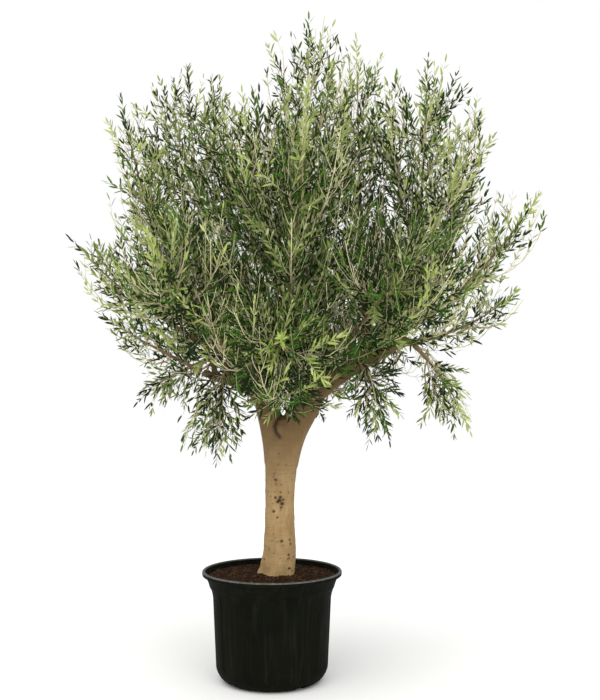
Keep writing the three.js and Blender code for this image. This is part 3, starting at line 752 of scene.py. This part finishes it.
def distanceToPath(points, path):
    best = np.full(len(points), np.inf)
    for a, b in zip(path[:-1], path[1:]):
        share = np.clip(((points - a) @ (b - a)) / ((b - a) @ (b - a)), 0, 1)
        best = np.minimum(best, np.linalg.norm(points - a - share[:, None] * (b - a), axis=1))
    return best


def noiseAt(points, scale, stretch=(1, 1, 1), octaves=3, seed=0.0):
    scaled = points * np.array(stretch) * scale + seed
    return np.array([noise.fractal(Vector(p), 1.0, 2.0, octaves) for p in scaled])


def barkSkin():
    points, faces = joinedParts(barkTubes())
    rough = newMesh("roughBark", points, faces, [])
    remesh = rough.modifiers.new("skin", "REMESH")
    remesh.mode = "VOXEL"
    remesh.voxel_size = bark["voxel"] * 1
    smooth = rough.modifiers.new("ease", "SMOOTH")
    smooth.factor = 0.5
    smooth.iterations = bark["smoothing"]
    mesh = bpy.data.meshes.new_from_object(rough.evaluated_get(bpy.context.evaluated_depsgraph_get()))
    bpy.data.objects.remove(rough)
    return mesh


def addKnots(points, lift, shade):
    # each knot or pit is a hollow with a raised rim, darkened towards its middle: partly the knot's own dark
    # wood, partly painted shade in the hollow
    random = np.random.default_rng(8)
    small = [
        (random.uniform(-180, 180), random.uniform(*bark["pitHeights"]), random.uniform(*bark["pitRadii"]))
        for _ in range(bark["smallPits"])
    ]
    for turn, z, size in bark["knots"] + small:
        shift, radius = trunkAt(z)
        turn = math.radians(turn)
        centre = np.array([shift + math.sin(turn) * radius, -math.cos(turn) * radius, z])
        near = np.flatnonzero(np.abs(points - centre).max(1) < size * 3)
        away = np.linalg.norm((points[near] - centre) * (1, 1, 1.25), axis=1) / size
        hollow = np.exp(-(away ** 2) * 1.6)
        lift[near] -= size * bark["knotDepth"] * hollow
        lift[near] += size * bark["knotRim"] * np.exp(-((away - 1.35) ** 2) * 5)
        darkest = 0.95 if size > bark["pitRadii"][1] else 0.7
        shade[near] = np.maximum(shade[near], np.clip(hollow * 1.5 - 0.15, 0, 1) * darkest)


def buildBark():
    mesh = barkSkin()
    count = len(mesh.vertices)
    points, normals = np.zeros(count * 3), np.zeros(count * 3)
    mesh.vertices.foreach_get("co", points)
    mesh.vertices.foreach_get("normal", normals)
    points, normals = points.reshape(-1, 3), normals.reshape(-1, 3)
    height = points[:, 2]
    onTrunk = 1 - smoothStep(height, *bark["trunkTop"])
    lift = noiseAt(points, 15, (1, 1, 0.30)) * bark["swell"] * mix(0.6, 1.0, onTrunk)
    ripples = noiseAt(points, 34, (0.55, 0.55, 2.6), 3, 7.0) * bark["ripple"]
    lift += ripples * (1 - smoothStep(height, *bark["rippleTop"]))
    lift += noiseAt(points, 75, (1, 1, 0.35), 2, 3.0) * bark["fibre"]
    shade = np.zeros(count)
    addKnots(points, lift, shade)
    # the seam where the right horn's collar laps over the left: a sunk crease, darkened along it with painted
    # shade
    front = (points[:, 1] < 0.01) & (height > bark["seamSpan"][0]) & (height < bark["seamSpan"][1])
    away = distanceToPath(points[:, [0, 2]], np.array(bark["seam"]))
    fade = smoothStep(height, *bark["seamFade"])
    crease = np.exp(-(away / bark["seamWidth"]) ** 2) * front
    lift -= bark["seamDepth"] * crease * mix(0.25, 1, fade)
    shade = np.maximum(shade, crease * mix(0.3, 0.85, fade))
    points += normals * lift[:, None]
    mesh.vertices.foreach_set("co", points.ravel())
    tint = mesh.attributes.new("pitShade", "FLOAT", "POINT")
    tint.data.foreach_set("value", shade.astype(np.float32))
    mesh.polygons.foreach_set("use_smooth", np.ones(len(mesh.polygons), bool))
    mesh.materials.clear()
    mesh.materials.append(barkMaterial(bark["look"]))
    mesh.update()
    mesh.name = "oliveBark"
    piece = placed("oliveBark", mesh)
    seatPiece(piece, "bark", "trunk", *["bough_" + name for name in boughs])
    print("bark:", len(mesh.polygons), "faces")


# Where a mass may grow: under the dome of its spread and reach, nearer to its own stem than to any
# other, and off every bough.

def distances(points, samples):
    flat = samples.reshape(-1, 3)
    squares = (points ** 2).sum(1)[:, None] + (flat ** 2).sum(1)[None] - 2 * points @ flat.T
    return np.sqrt(np.maximum(squares, 0)).reshape((len(points),) + samples.shape[:-1])


def underDome(plume, points, slack=1.0):
    axis = plume["reach"] - plume["tip"]
    length = np.linalg.norm(axis)
    axis = axis / length
    rise = (points - plume["tip"]) @ axis / length
    radius = np.linalg.norm(points - plume["tip"] - (rise * length)[:, None] * axis, axis=1)
    height = np.clip((rise - space["domeFoot"]) / (1 - space["domeFoot"]), 0, None)
    return radius / (plume["spread"] * slack) <= np.sqrt(np.clip(1 - height ** 3, 0, None))


def offLimbs(points, margin):
    away = distances(points, limbSamples)
    nearest = away.argmin(2)
    least = np.take_along_axis(away, nearest[:, :, None], 2)[:, :, 0]
    radii = limbRadii[np.arange(len(limbRadii))[None], nearest]
    return (least > radii + margin).all(1)


def inSpace(plume, points):
    away = distances(points, stemSamples).min(2)
    own = away[:, plume["index"]].copy()
    away[:, plume["index"]] = np.inf
    isOwn = away.min(1) - own >= 2 * space["stemMargin"]
    return underDome(plume, points) & isOwn & offLimbs(points, space["limbMargin"])


def fullness(share):
    return 0.35 + 0.65 * math.sin(math.pi * (0.15 + 0.8 * share))


def sprayAt(curve, share, broad, splay, roll):
    # (root, direction, across) of a spray turned out of its twig's line in the twig's broad plane
    along = curve.tangentAt(share)[0]
    sideways = unit(broad - along * (broad @ along))
    direction = along * math.cos(splay) + sideways * math.sin(splay)
    across = unit(sideways - direction * (sideways @ direction))
    return np.array([curve.chainAt(share)[0], direction, turned(across, direction, roll)])


# places on a spray: how far along it and how far to its side
outlineShares = np.array([
    (0.15, 0), (0.35, 0), (0.46, 1), (0.46, -1), (0.6, 0), (0.8, 0.4), (0.8, -0.4), (1, 0),
])


def outlineOf(sprays, size):
    # the points of each spray that have to lie free: (n, 8, 3)
    sprays = np.asarray(sprays).reshape(-1, 3, 3)
    ahead = sprays[:, None, 1] * (outlineShares[:, :1] * size * spray["length"])
    aside = sprays[:, None, 2] * (outlineShares[:, 1:] * size * spray["width"] / 2)
    return sprays[:, None, 0] + ahead + aside


def twigCurve(plume, share, turn, reach):
    # it stands out to the side of the stem, sweeps along it, and turns up or hangs down
    root = plume["curve"].chainAt(share)[0]
    along = plume["curve"].tangentAt(share)[0]
    side = turned(sideOf(along), along, turn)
    bend = root + side * reach * 0.6 + along * reach * 0.15
    tip = root + side * reach + along * reach * twig["sweep"] + up * reach * twig["lift"] * plume["lift"]
    return Curve([root, bend, tip], twig["links"]), np.cross(along, side)


def spraysOn(curve, broad, roll, size):
    found = [sprayAt(curve, 1, broad, 0, roll)]
    length = curve.length()
    back = size * twig["firstPair"]
    while back < length - twig["bareFoot"]:
        for side in (1, -1):
            found.append(sprayAt(curve, 1 - back / length, broad, side * spray["splay"], roll))
        back += size * twig["pairSpacing"]
    return found


def roomiest(plume, tries, size, taken, wood):
    # the try that keeps the most sprays clear of what stands there already
    outlines = np.concatenate([outlineOf(sprays, size) for _, sprays in tries])
    points = outlines.reshape(-1, 3)
    isOpen = (distances(points, taken).min(1) > spray["room"]) & inSpace(plume, points)
    isFree = isOpen & (distances(points, wood).min(1) > spray["woodRoom"])
    isFree = isFree.reshape(-1, outlines.shape[1]).all(1)
    paths = np.concatenate([curve.samples()[3:] for curve, _ in tries])
    pathOpen = (distances(paths, taken).min(1) > spray["room"]) & inSpace(plume, paths)
    pathOpen = pathOpen.reshape(len(tries), -1).all(1)
    best, most, first = None, 0, 0
    for isClear, (curve, sprays) in zip(pathOpen, tries):
        kept = [s for s, free in zip(sprays, isFree[first:first + len(sprays)]) if free]
        first += len(sprays)
        if isClear and len(kept) > most:
            best, most = (curve, kept), len(kept)
    return best


def growPlume(plume):
    # the twigs of one mass, each with the share of the stem it stands at, and the sprays that lie free
    random = Seeded(plume["seed"])
    size = sizeOf(plume["spread"])
    curve = plume["curve"]
    end = curve.tangentAt(1)[0]
    broad = np.cross(end, [0.0, 1.0, 0.0])
    sprays = [sprayAt(curve, 1, broad, 0, 0)]
    for i, share in enumerate(stem["leafShares"]):
        facing = turned(broad, curve.tangentAt(share)[0], i * twig["turn"])
        pair = [sprayAt(curve, share, facing, half * spray["splay"], 0) for half in (1, -1)]
        sprays += [s for s in pair if inSpace(plume, outlineOf([s], size)[0]).all()]
    taken = outlineOf(sprays, size).reshape(-1, 3)
    wood = curve.samples()
    count = max(twig["least"], int(math.floor(curve.length() / (size * twig["spacing"]) + 0.5)))
    twigs = []
    for i in range(count):
        share = mix(twig["first"], twig["last"], i / (count - 1))
        room = plume["spread"] * fullness(share) - size * spray["length"] * 0.6
        reach = max(room, 0.060) * mix(0.9, 1.1, random.draw())
        roll = mix(-0.5, 0.5, random.draw())
        tries = []
        for length, extra in product(twig["lengthTries"], twig["turnTries"]):
            turn = i * twig["turn"] + plume["turn"] + extra
            found, facing = twigCurve(plume, share, turn, reach * length)
            tries.append((found, spraysOn(found, facing, roll, size)))
        best = roomiest(plume, tries, size, taken, wood)
        if best is not None:
            grown, kept = best
            twigs.append((grown, share))
            taken = np.concatenate([taken, outlineOf(kept, size).reshape(-1, 3)])
            wood = np.concatenate([wood, grown.samples()])
            sprays += kept
    plume.update(twigs=twigs, sprays=sprays, size=size)


# The shoots carry the rule on: one in the place of each spray of the solids, more of them down every
# twig and stem, and pairs of leaves along each shoot. Angles are in degrees.
shoot = dict(
    joints=4, length=(0.11, 0.26), splay=(30, 52), turn=77, unevenness=0.35, bend=(0.4, 1.0),
    shown=(0.0015, 0.0007), leastLift=0.55, longest=0.30, shorter=(1.0, 0.7, 0.45), leader=(0.80, 0.95),
    fromTwig=0.034, twigSpan=(0.16, 0.97), fromStem=0.040, stemSpan=(0.12, 1.0), end=(0.10, 0.20),
    # further twigs in the mass, and on the bare part of the boughs
    extraTwigs=1.9, extraTurn=1.1, extraReach=(0.42, 0.66),
    fromBough=0.062, boughFirst=0.15, boughTwig=(0.14, 0.30),
    alsoOn=dict(
        front_low=("left", "right"), under_right=("right",), front_right=("right",),
        left_low=("left",), front=("left",),
    ),
    # how much of its mass's space a shoot may fill, and where the shoots stand thinner
    leaderSlack=0.95, slack=0.78, sideSlack=0.58, limbMargin=0.012,
    thinning=(0.25, 0.90), tipThinning=0.70, edge=(0.72, 1.08), edgeThinning=0.5, hangThinning=0.30,
    airy=dict(top=0.40, left_drop=0.25, left_low=0.25, right_mid=0.30),
)
# Pale switches arch out and up in front of the shoots, with slim side shoots in pairs.
switch = dict(
    perTwig=0.85, joints=6, length=(0.24, 0.44), shorter=(1.0, 0.75, 0.55), arch=0.75, outward=0.8,
    spacing=0.052, firstPair=0.22, side=(0.150, 0.055), splay=(34, 50),
    shown=(0.0023, 0.0012), sideShown=(0.0014, 0.0008), bareFoot=0.42, leafSpacing=0.0260,
)
foliage = dict(
    spacing=0.0205, length=(0.033, 0.054), width=0.220, bareFoot=0.12, splay=(50, 24), roll=26,
    curl=0.10, thickness=0.0011, limbMargin=0.004, perPiece=19000,
    woods=dict(
        stems=("stemBark", (0.175, 0.110, 0.058), (0.27, 0.19, 0.11)),
        twigs=("twigBark", (0.40, 0.325, 0.190), (0.64, 0.56, 0.37)),
        shoots=("shootBark", (0.48, 0.45, 0.24), (0.66, 0.60, 0.38)),
        switches=("switchBark", (0.56, 0.52, 0.27), (0.76, 0.72, 0.44)),
    ),
    # the palest tone stands in for lit leaves and the darkest for leaves in shade: painted light and shade
    tones=dict(
        paleLit=((0.395, 0.490, 0.120), (0.570, 0.620, 0.270)),
        mid=((0.042, 0.124, 0.008), (0.145, 0.238, 0.042)),
        darkShaded=((0.010, 0.028, 0.003), (0.040, 0.066, 0.013)),
        grey=((0.230, 0.300, 0.080), (0.490, 0.545, 0.235)),
    ),
    # how a leaf's upper side and its underside vary: shade, roughness and shine
    topLook=(0.70, 0.48, 0.13), underLook=(0.82, 0.66, 0.05),
    # how many shoots have each tone, deep in the crown and at its outside: the darker tones inside are
    # painted shade, the lighter ones outside painted light
    insideShares=(0.09, 0.27, 0.58, 0.06), outsideShares=(0.28, 0.23, 0.30, 0.19),
    crownCentre=(0.13, 0.0, 1.70), crownHalf=(1.0, 1.5, 1.10), crownDepth=2.2, outside=(0.42, 0.92),
)


def hangs(plume):
    return plume["lift"] < -0.5


def shootPaths(roots, directions, lengths, lifts):
    # curves that leave along their direction and turn up, or hang, the flattest of them most
    share = np.linspace(0, 1, shoot["joints"])[None, :, None]
    bend = mix(*shoot["bend"], 1 - np.abs(directions[:, 2]))
    ends = roots + directions * lengths[:, None] + up * (lifts * lengths * bend)[:, None]
    bends = roots + directions * (lengths * 0.5)[:, None]
    roots, bends, ends = roots[:, None], bends[:, None], ends[:, None]
    return (1 - share) ** 2 * roots + 2 * share * (1 - share) * bends + share ** 2 * ends


def sproutsAlong(random, curve, spacing, span, lift):
    # shoots in pairs that turn round their twig, longest in its middle
    first, last = span
    length = lengthOf(curve.curveAt(np.linspace(0, 1, 9)))
    count = int(length * (last - first) / spacing)
    if count < 1:
        return []
    shares = np.linspace(first, last, count) + random.uniform(-0.4, 0.4, count) * (last - first) / count
    shares = np.clip(shares, 0, 1)
    along, roots = curve.tangentAt(shares), curve.curveAt(shares)
    side = sideOf(along)
    found = []
    start = random.uniform(0, 2 * math.pi)
    uneven = shoot["unevenness"]
    for half in (0, math.pi):
        turn = start + half + np.arange(count) * math.radians(shoot["turn"]) + random.normal(0, uneven, count)
        out = turned(side, along, turn[:, None])
        splay = np.radians(random.uniform(*shoot["splay"], count))[:, None]
        direction = unit(along * np.cos(splay) + out * np.sin(splay) + up * 0.12 * lift)
        middle = mix(0.65, 1.0, np.sin(math.pi * np.clip(shares, 0.1, 0.9)))
        size = np.minimum(random.uniform(*shoot["length"], count) * middle, shoot["longest"])
        lifts = np.full(count, lift) + random.normal(0, uneven, count)
        found += list(zip(roots, direction, size, lifts))
    return found


def innerTwigs(random, plume):
    # twigs on the bough itself, below its mass, and on the bare part of a main bough beside it
    carriers = [(plume["name"], shoot["boughFirst"])]
    carriers += [(name, 0.02) for name in shoot["alsoOn"].get(plume["name"], ())]
    found = []
    for name, first in carriers:
        curve = limbs[name]["curve"]
        count = int(lengthOf(curve.samples()) * (1 - first) / shoot["fromBough"])
        for i in range(count):
            share = mix(first, 0.97, (i + random.uniform(0.2, 0.8)) / count)
            root, along = curve.placeAt(share)
            side = turned(unit(np.cross(along, [0.31, 0.42, 0.85])), along, i * twig["turn"] + plume["turn"])
            reach = random.uniform(*shoot["boughTwig"])
            tip = root + side * reach + along * reach * 0.5 + up * reach * 0.35 * plume["lift"]
            inner = Curve([root, root + side * reach * 0.6 + along * reach * 0.15, tip])
            points = inner.curveAt(np.linspace(0.4, 1, 5))
            if underDome(plume, points).all() and offLimbs(points, 0.008).all():
                found.append((inner, 0.5))
    return found


def openness(plume, root):
    # the share of the shoots that stands there
    axis = plume["reach"] - plume["tip"]
    rise = (root - plume["tip"]) @ axis / (axis @ axis)
    thinner = shoot["tipThinning"] * smoothStep(rise, *shoot["thinning"])
    out = np.linalg.norm((root - foliage["crownCentre"]) / foliage["crownHalf"])
    thinner = 1 - (1 - thinner) * (1 - shoot["edgeThinning"] * smoothStep(out, *shoot["edge"]))
    thinner = 1 - (1 - thinner) * (1 - shoot["airy"].get(plume["name"], 0))
    return (1 - thinner) * (1 - (shoot["hangThinning"] if hangs(plume) else 0))


def archOf(plume, root, direction, length, lift):
    # the longest arch that finds room, and its length
    for shorter in switch["shorter"]:
        long = length * shorter
        end = root + direction * long + up * lift * long * switch["arch"]
        path = Curve([root, root + direction * long * 0.6, end])
        points = path.curveAt(np.linspace(0.4, 1, 5))
        if underDome(plume, points).all() and offLimbs(points, 0.01).all():
            return path, long
    return None, 0


def switchesOn(plume, twigs):
    # each leaves its twig outward from the crown, arches up and carries side shoots in pairs
    random = np.random.default_rng(400 + plume["seed"])
    lift = plume["lift"] if hangs(plume) else 1.0
    main, sides = [], []
    for curve, _ in twigs:
        if random.uniform() > switch["perTwig"]:
            continue
        root, along = curve.placeAt(random.uniform(0.35, 0.95))
        away = unit((root - foliage["crownCentre"]) * [1, 1, 0.5])
        direction = unit(along + away * switch["outward"] + random.normal(0, 0.25, 3))
        path, long = archOf(plume, root, direction, random.uniform(*switch["length"]), lift)
        if path is None:
            continue
        main.append(path.curveAt(np.linspace(0, 1, switch["joints"])))
        facing = unit(np.cross(path.tangentAt(0.5)[0], away + random.normal(0, 0.3, 3)))
        count = int(long * (1 - switch["firstPair"]) / switch["spacing"])
        for share, half in product(np.linspace(switch["firstPair"], 0.92, max(count, 2)), (1, -1)):
            foot, line = path.placeAt(share)
            splay = math.radians(random.uniform(*switch["splay"]))
            out = line * math.cos(splay) + facing * half * math.sin(splay)
            sides.append((foot, out, mix(*switch["side"], share) * random.uniform(0.7, 1.15), lift))
    plume["switches"] = np.array(main).reshape(-1, switch["joints"], 3)
    plume["sideShoots"], plume["sideLengths"] = np.zeros((0, shoot["joints"], 3)), np.zeros(0)
    if sides:
        roots, directions, lengths, lifts = (np.array(column) for column in zip(*sides))
        paths = shootPaths(roots, directions, lengths, lifts)
        isIn = underDome(plume, paths[:, -1]) & offLimbs(paths[:, -1], shoot["limbMargin"])
        plume["sideShoots"], plume["sideLengths"] = paths[isIn], lengths[isIn]


def fitted(plume, group, slack):
    # the paths of the shoots that find room, cut shorter where they must be, and their lengths
    roots, directions, lengths, lifts = (np.array(column) for column in zip(*group))
    kept = []
    for shorter in shoot["shorter"]:
        paths = shootPaths(roots, directions, lengths * shorter, lifts)
        flat = paths[:, 2:].reshape(-1, 3)
        isIn = underDome(plume, flat, slack) & offLimbs(flat, shoot["limbMargin"])
        isIn = isIn.reshape(len(paths), shoot["joints"] - 2).all(1)
        kept.append((paths[isIn], (lengths * shorter)[isIn]))
        roots, directions, lengths, lifts = roots[~isIn], directions[~isIn], lengths[~isIn], lifts[~isIn]
    return kept


def finerShoots(plume):
    random = np.random.default_rng(100 + plume["seed"])
    lift = plume["lift"] if hangs(plume) else max(plume["lift"], shoot["leastLift"])
    leaders = [
        (root, direction, spray["length"] * plume["size"] * random.uniform(*shoot["leader"]), lift * 0.12)
        for root, direction, _ in plume["sprays"]
    ]
    # further twigs between the first ones, by the same turns
    further = []
    count = int(len(plume["twigs"]) * shoot["extraTwigs"])
    for i in range(count):
        share = mix(twig["first"], 0.93, (i + 0.5) / count)
        reach = plume["spread"] * fullness(share) * random.uniform(*shoot["extraReach"])
        turn = (i + 0.5) * twig["turn"] + plume["turn"] + shoot["extraTurn"]
        curve, _ = twigCurve(plume, share, turn, reach)
        points = curve.samples(9)[3:]
        if underDome(plume, points, shoot["slack"]).all() and offLimbs(points, 0.01).all():
            further.append((curve, share))
    further += innerTwigs(random, plume)
    twigs = plume["twigs"] + further
    shoots = [(*curve.placeAt(1), random.uniform(*shoot["end"]), lift * 0.4) for curve, _ in further]
    for curve, _ in twigs:
        shoots += sproutsAlong(random, curve, shoot["fromTwig"], shoot["twigSpan"], lift)
    shoots += sproutsAlong(random, plume["curve"], shoot["fromStem"], shoot["stemSpan"], lift)
    shoots = [s for s in shoots if random.uniform() < openness(plume, s[0])]
    slack = shoot["slack"] if plume["spread"] > 0.3 else shoot["sideSlack"]
    kept = fitted(plume, leaders, shoot["leaderSlack"]) + fitted(plume, shoots, slack)
    paths, lengths = (np.concatenate(column) for column in zip(*kept))
    plume.update(allTwigs=twigs, shoots=paths, shootLengths=lengths)
    switchesOn(plume, twigs)


def leavesOn(random, paths, lengths, spacing, bareFoot):
    # pairs at the joints of each shoot, close to its line at its tip, with one leaf at the very end
    count, most = len(paths), 40
    steps = (np.arange(most)[None] + random.uniform(0.2, 0.8, (count, 1))) * spacing
    steps = steps * random.uniform(0.85, 1.15, (count, 1))
    foot = lengths[:, None] * bareFoot
    which, node = np.nonzero(steps + foot < lengths[:, None] * 0.985)
    share = (steps + foot)[which, node] / lengths[which]
    which, node = np.append(which, np.arange(count)), np.append(node, np.zeros(count, int))
    share = np.append(share, np.ones(count))
    isEnd = share == 1
    at = share * (paths.shape[1] - 1)
    link = np.minimum(at.astype(int), paths.shape[1] - 2)
    roots = mix(paths[which, link], paths[which, link + 1], (at - link)[:, None])
    along = unit(paths[which, link + 1] - paths[which, link])
    side = sideOf(along, 0.95)
    start = random.uniform(0, math.pi, count)
    columns = []
    for half in (0, math.pi):
        keep = ~isEnd if half else np.ones(len(share), bool)
        keep = keep & (random.uniform(size=len(share)) < 0.95)
        n = keep.sum()
        turn = start[which[keep]] + half + node[keep] * math.pi / 2 + random.normal(0, 0.3, n)
        out = turned(side[keep], along[keep], turn[:, None])
        splay = mix(*foliage["splay"], share[keep]) + random.normal(0, 7, n)
        splay = np.radians(np.where(isEnd[keep], random.uniform(0, 14, n), splay))[:, None]
        direction = along[keep] * np.cos(splay) + out * np.sin(splay)
        normal = unit(along[keep] * np.sin(splay) - out * np.cos(splay))
        normal = turned(normal, direction, np.radians(random.normal(0, foliage["roll"], n))[:, None])
        size = random.uniform(*foliage["length"], n) * np.where(share[keep] > 0.85, 0.78, 1.0)
        columns.append((roots[keep], direction, normal, size, which[keep]))
    return [np.concatenate(column) for column in zip(*columns)]


# The seven points of a leaf: how far along it, how far to its side and whether it is on the ridge of its
# back. Then its faces, above and below.
leafPoints = [
    (0.0, 0, 0), (0.29, -0.9, 0), (0.29, 0.9, 0), (0.68, -0.85, 0), (0.68, 0.85, 0), (1.0, 0, 0),
    (0.47, 0, 1),
]
leafTop = np.array([[0, 6, 1], [1, 6, 3], [3, 6, 5], [5, 6, 4], [4, 6, 2], [2, 6, 0]])
leafUnder = np.array([[0, 1, 2], [1, 3, 4], [1, 4, 2], [3, 5, 4]])


def leafMeshPoints(random, roots, directions, normals, sizes):
    n = len(roots)
    across = np.cross(directions, normals)
    width = (sizes * foliage["width"] * random.uniform(0.88, 1.12, n) / 2)[:, None]
    curl = (sizes * random.normal(foliage["curl"], 0.06, n))[:, None]
    length = sizes[:, None]
    return np.stack([
        roots + directions * length * share + across * width * side
        + normals * (foliage["thickness"] * raised - curl * share ** 2)
        for share, side, raised in leafPoints
    ], 1)


def leafPieces(columns, tones):
    random = np.random.default_rng(77)
    for tone, (name, (topColour, underColour)) in enumerate(foliage["tones"].items()):
        materials = [
            leafMaterial("leafTop_" + name, topColour, *foliage["topLook"]),
            leafMaterial("leafUnder_" + name, underColour, *foliage["underLook"]),
        ]
        chosen = np.flatnonzero(tones == tone)
        batches = max(1, math.ceil(len(chosen) / foliage["perPiece"]))
        for batch in range(batches):
            picked = chosen[batch::batches]
            points = leafMeshPoints(random, *(column[picked] for column in columns[:4]))
            offset = (np.arange(len(picked)) * len(leafPoints))[:, None, None]
            faces = (np.concatenate([leafTop, leafUnder])[None] + offset).reshape(-1, 3)
            marks = np.tile([0] * len(leafTop) + [1] * len(leafUnder), len(picked))
            title = "leaves_" + name + ("_" + str(batch + 1) if batches > 1 else "")
            yield newMesh(title, points.reshape(-1, 3), [faces], materials, marks)


def woodPiece(name, *parts):
    points, faces = joinedParts(parts)
    return newMesh(name, points, faces, [twigMaterial(*foliage["woods"][name])], smooth=True)


def stemTube(plume):
    # it starts a little inside the end of its bough
    share = np.linspace(-0.03, 1, 16)
    path = plume["curve"].curveAt(np.clip(share, 0, 1))
    path[0] = path[1] - unit(path[2] - path[1]) * 0.012
    radii = mix(*stem["shown"], np.clip(share, 0, 1) ** 0.8)
    radii[0] = radii[1] = limb["tipRadius"] * 0.98
    return tubes(path[None], radii[None], 6)


def twigTubes(twigs):
    paths = np.array([curve.curveAt(np.linspace(0, 1, 6)) for curve, _ in twigs])
    shares = np.array([share for _, share in twigs])
    rootRadius = np.minimum(mix(*stem["shown"], shares ** 0.8) * 0.75, twig["shown"][0])
    return tubes(paths, mix(rootRadius[:, None], twig["shown"][1], np.linspace(0, 1, 6)[None]), 4)


def gathered(key):
    return np.concatenate([plume[key] for plume in plumes])


def total(key):
    return sum(len(plume[key]) for plume in plumes)


def tonePerShoot(random, shoots):
    # painted light and shade: lighter tones stand at the outside of the crown and darker ones inside it, and
    # its underside counts as inside
    away = (shoots[:, -1] - foliage["crownCentre"]) / foliage["crownHalf"]
    deeper = away[:, 2] * foliage["crownHalf"][2] / foliage["crownDepth"]
    away[:, 2] = np.where(away[:, 2] < 0, deeper, away[:, 2])
    out = smoothStep(np.linalg.norm(away, axis=1), *foliage["outside"])[:, None]
    inside, outside = np.array(foliage["insideShares"]), np.array(foliage["outsideShares"])
    shares = np.cumsum(mix(inside, outside, out), axis=1)
    return (random.uniform(size=(len(shoots), 1)) > shares[:, :-1]).sum(1)


def buildFoliage():
    for plume in plumes:
        growPlume(plume)
    print("twigs:", total("twigs"), "with", total("sprays"), "sprays")
    for plume in plumes:
        finerShoots(plume)
    print("finer twigs:", total("allTwigs"), "shoots:", total("shoots"))
    shoots, lengths = gathered("shoots"), gathered("shootLengths")
    switches, sideShoots, sideLengths = gathered("switches"), gathered("sideShoots"), gathered("sideLengths")
    yield woodPiece("stems", *[stemTube(plume) for plume in plumes])
    yield woodPiece("twigs", twigTubes([pair for plume in plumes for pair in plume["allTwigs"]]))
    yield woodPiece("shoots", taperedTubes(shoots, shoot["shown"], 3))
    sideTubes = taperedTubes(sideShoots, switch["sideShown"], 3)
    yield woodPiece("switches", taperedTubes(switches, switch["shown"], 4), sideTubes)
    print("switches:", len(switches), "with", len(sideShoots), "side shoots")
    # leaves, off the wood of the limbs
    random = np.random.default_rng(55)
    columns = leavesOn(random, shoots, lengths, foliage["spacing"], foliage["bareFoot"])
    more = leavesOn(random, sideShoots, sideLengths, switch["leafSpacing"], switch["bareFoot"])
    more[4] = more[4] + len(shoots)
    columns = [np.concatenate(pair) for pair in zip(columns, more)]
    tips = columns[0] + columns[1] * columns[3][:, None]
    clear = np.concatenate([offLimbs(part, foliage["limbMargin"]) for part in np.array_split(tips, 12)])
    columns = [column[clear] for column in columns]
    print("leaves:", clear.sum())
    yield from leafPieces(columns, tonePerShoot(random, np.concatenate([shoots, sideShoots]))[columns[4]])


# Floor, light and camera
studio = dict(
    floorSize=16.0, floorTone=(0.95, 0.95, 0.95), sky=(1.0, 1.0, 1.0), skyStrength=0.74,
    sunHeading=(0.10, 0.52, -0.85), sun=dict(energy=2.25, angle=math.radians(75), color=(1.0, 0.985, 0.95)),
    fillPlace=(2.6, -5.0, 2.2), fillAim=(0.1, 0, 1.2),
    fill=dict(shape="DISK", size=3.0, energy=45, color=(0.98, 0.99, 1.0)),
    eye=(0.120, -4.600, 1.335), tilt=0.99, lens=54.8, sensor=36,
)


def lamp(name, kind, heading, values):
    data = bpy.data.lights.new(name, kind)
    for key, value in values.items():
        setattr(data, key, value)
    light = placed(name, data)
    light.rotation_euler = Vector(heading).to_track_quat("-Z", "Y").to_euler()
    return light


def buildSky():
    world = bpy.data.worlds.new("studioSky")
    world.use_nodes = True
    tree = world.node_tree
    background = tree.nodes["Background"]
    background.inputs["Color"].default_value = (*studio["sky"], 1)
    strength = tree.nodes.new("ShaderNodeMapRange")  # what shows stays white, however dim the sky's light
    strength.inputs["To Min"].default_value = studio["skyStrength"]
    strength.inputs["To Max"].default_value = 1.0
    tree.links.new(tree.nodes.new("ShaderNodeLightPath").outputs["Is Camera Ray"], strength.inputs["Value"])
    tree.links.new(strength.outputs["Result"], background.inputs["Strength"])
    bpy.context.scene.world = world


def buildStudio():
    half = studio["floorSize"] / 2
    corners = np.array([(-half, -half, 0), (half, -half, 0), (half, half, 0), (-half, half, 0)], float)
    floorLook = Shader("paleFloor").finish(studio["floorTone"], 0.8)
    floor = newMesh("floor", corners - [0, 0, 0.0005], [np.array([[0, 1, 2, 3]])], [floorLook])
    buildSky()
    lamp("softSun", "SUN", studio["sunHeading"], studio["sun"])
    place = Vector(studio["fillPlace"])
    lamp("fillLight", "AREA", Vector(studio["fillAim"]) - place, studio["fill"]).location = place
    bpy.context.scene.view_settings.view_transform = "Standard"
    camera = placed("camera", bpy.data.cameras.new("camera"))
    camera.location = studio["eye"]
    camera.rotation_euler = (math.radians(90 + studio["tilt"]), 0, 0)
    camera.data.lens = studio["lens"]
    camera.data.sensor_width = studio["sensor"]
    bpy.context.scene.camera = camera
    print("studio set")


buildStudio()
buildPot()
buildSoil()
buildChips()
buildBark()
foliagePieces = list(buildFoliage())
nodes = ["foliage_" + plume["name"] for plume in plumes]
for piece in foliagePieces:
    seatPiece(piece, "bark" if piece.name in foliage["woods"] else "leaves", *nodes)
print("foliage:", sum(len(piece.data.polygons) for piece in foliagePieces), "faces")
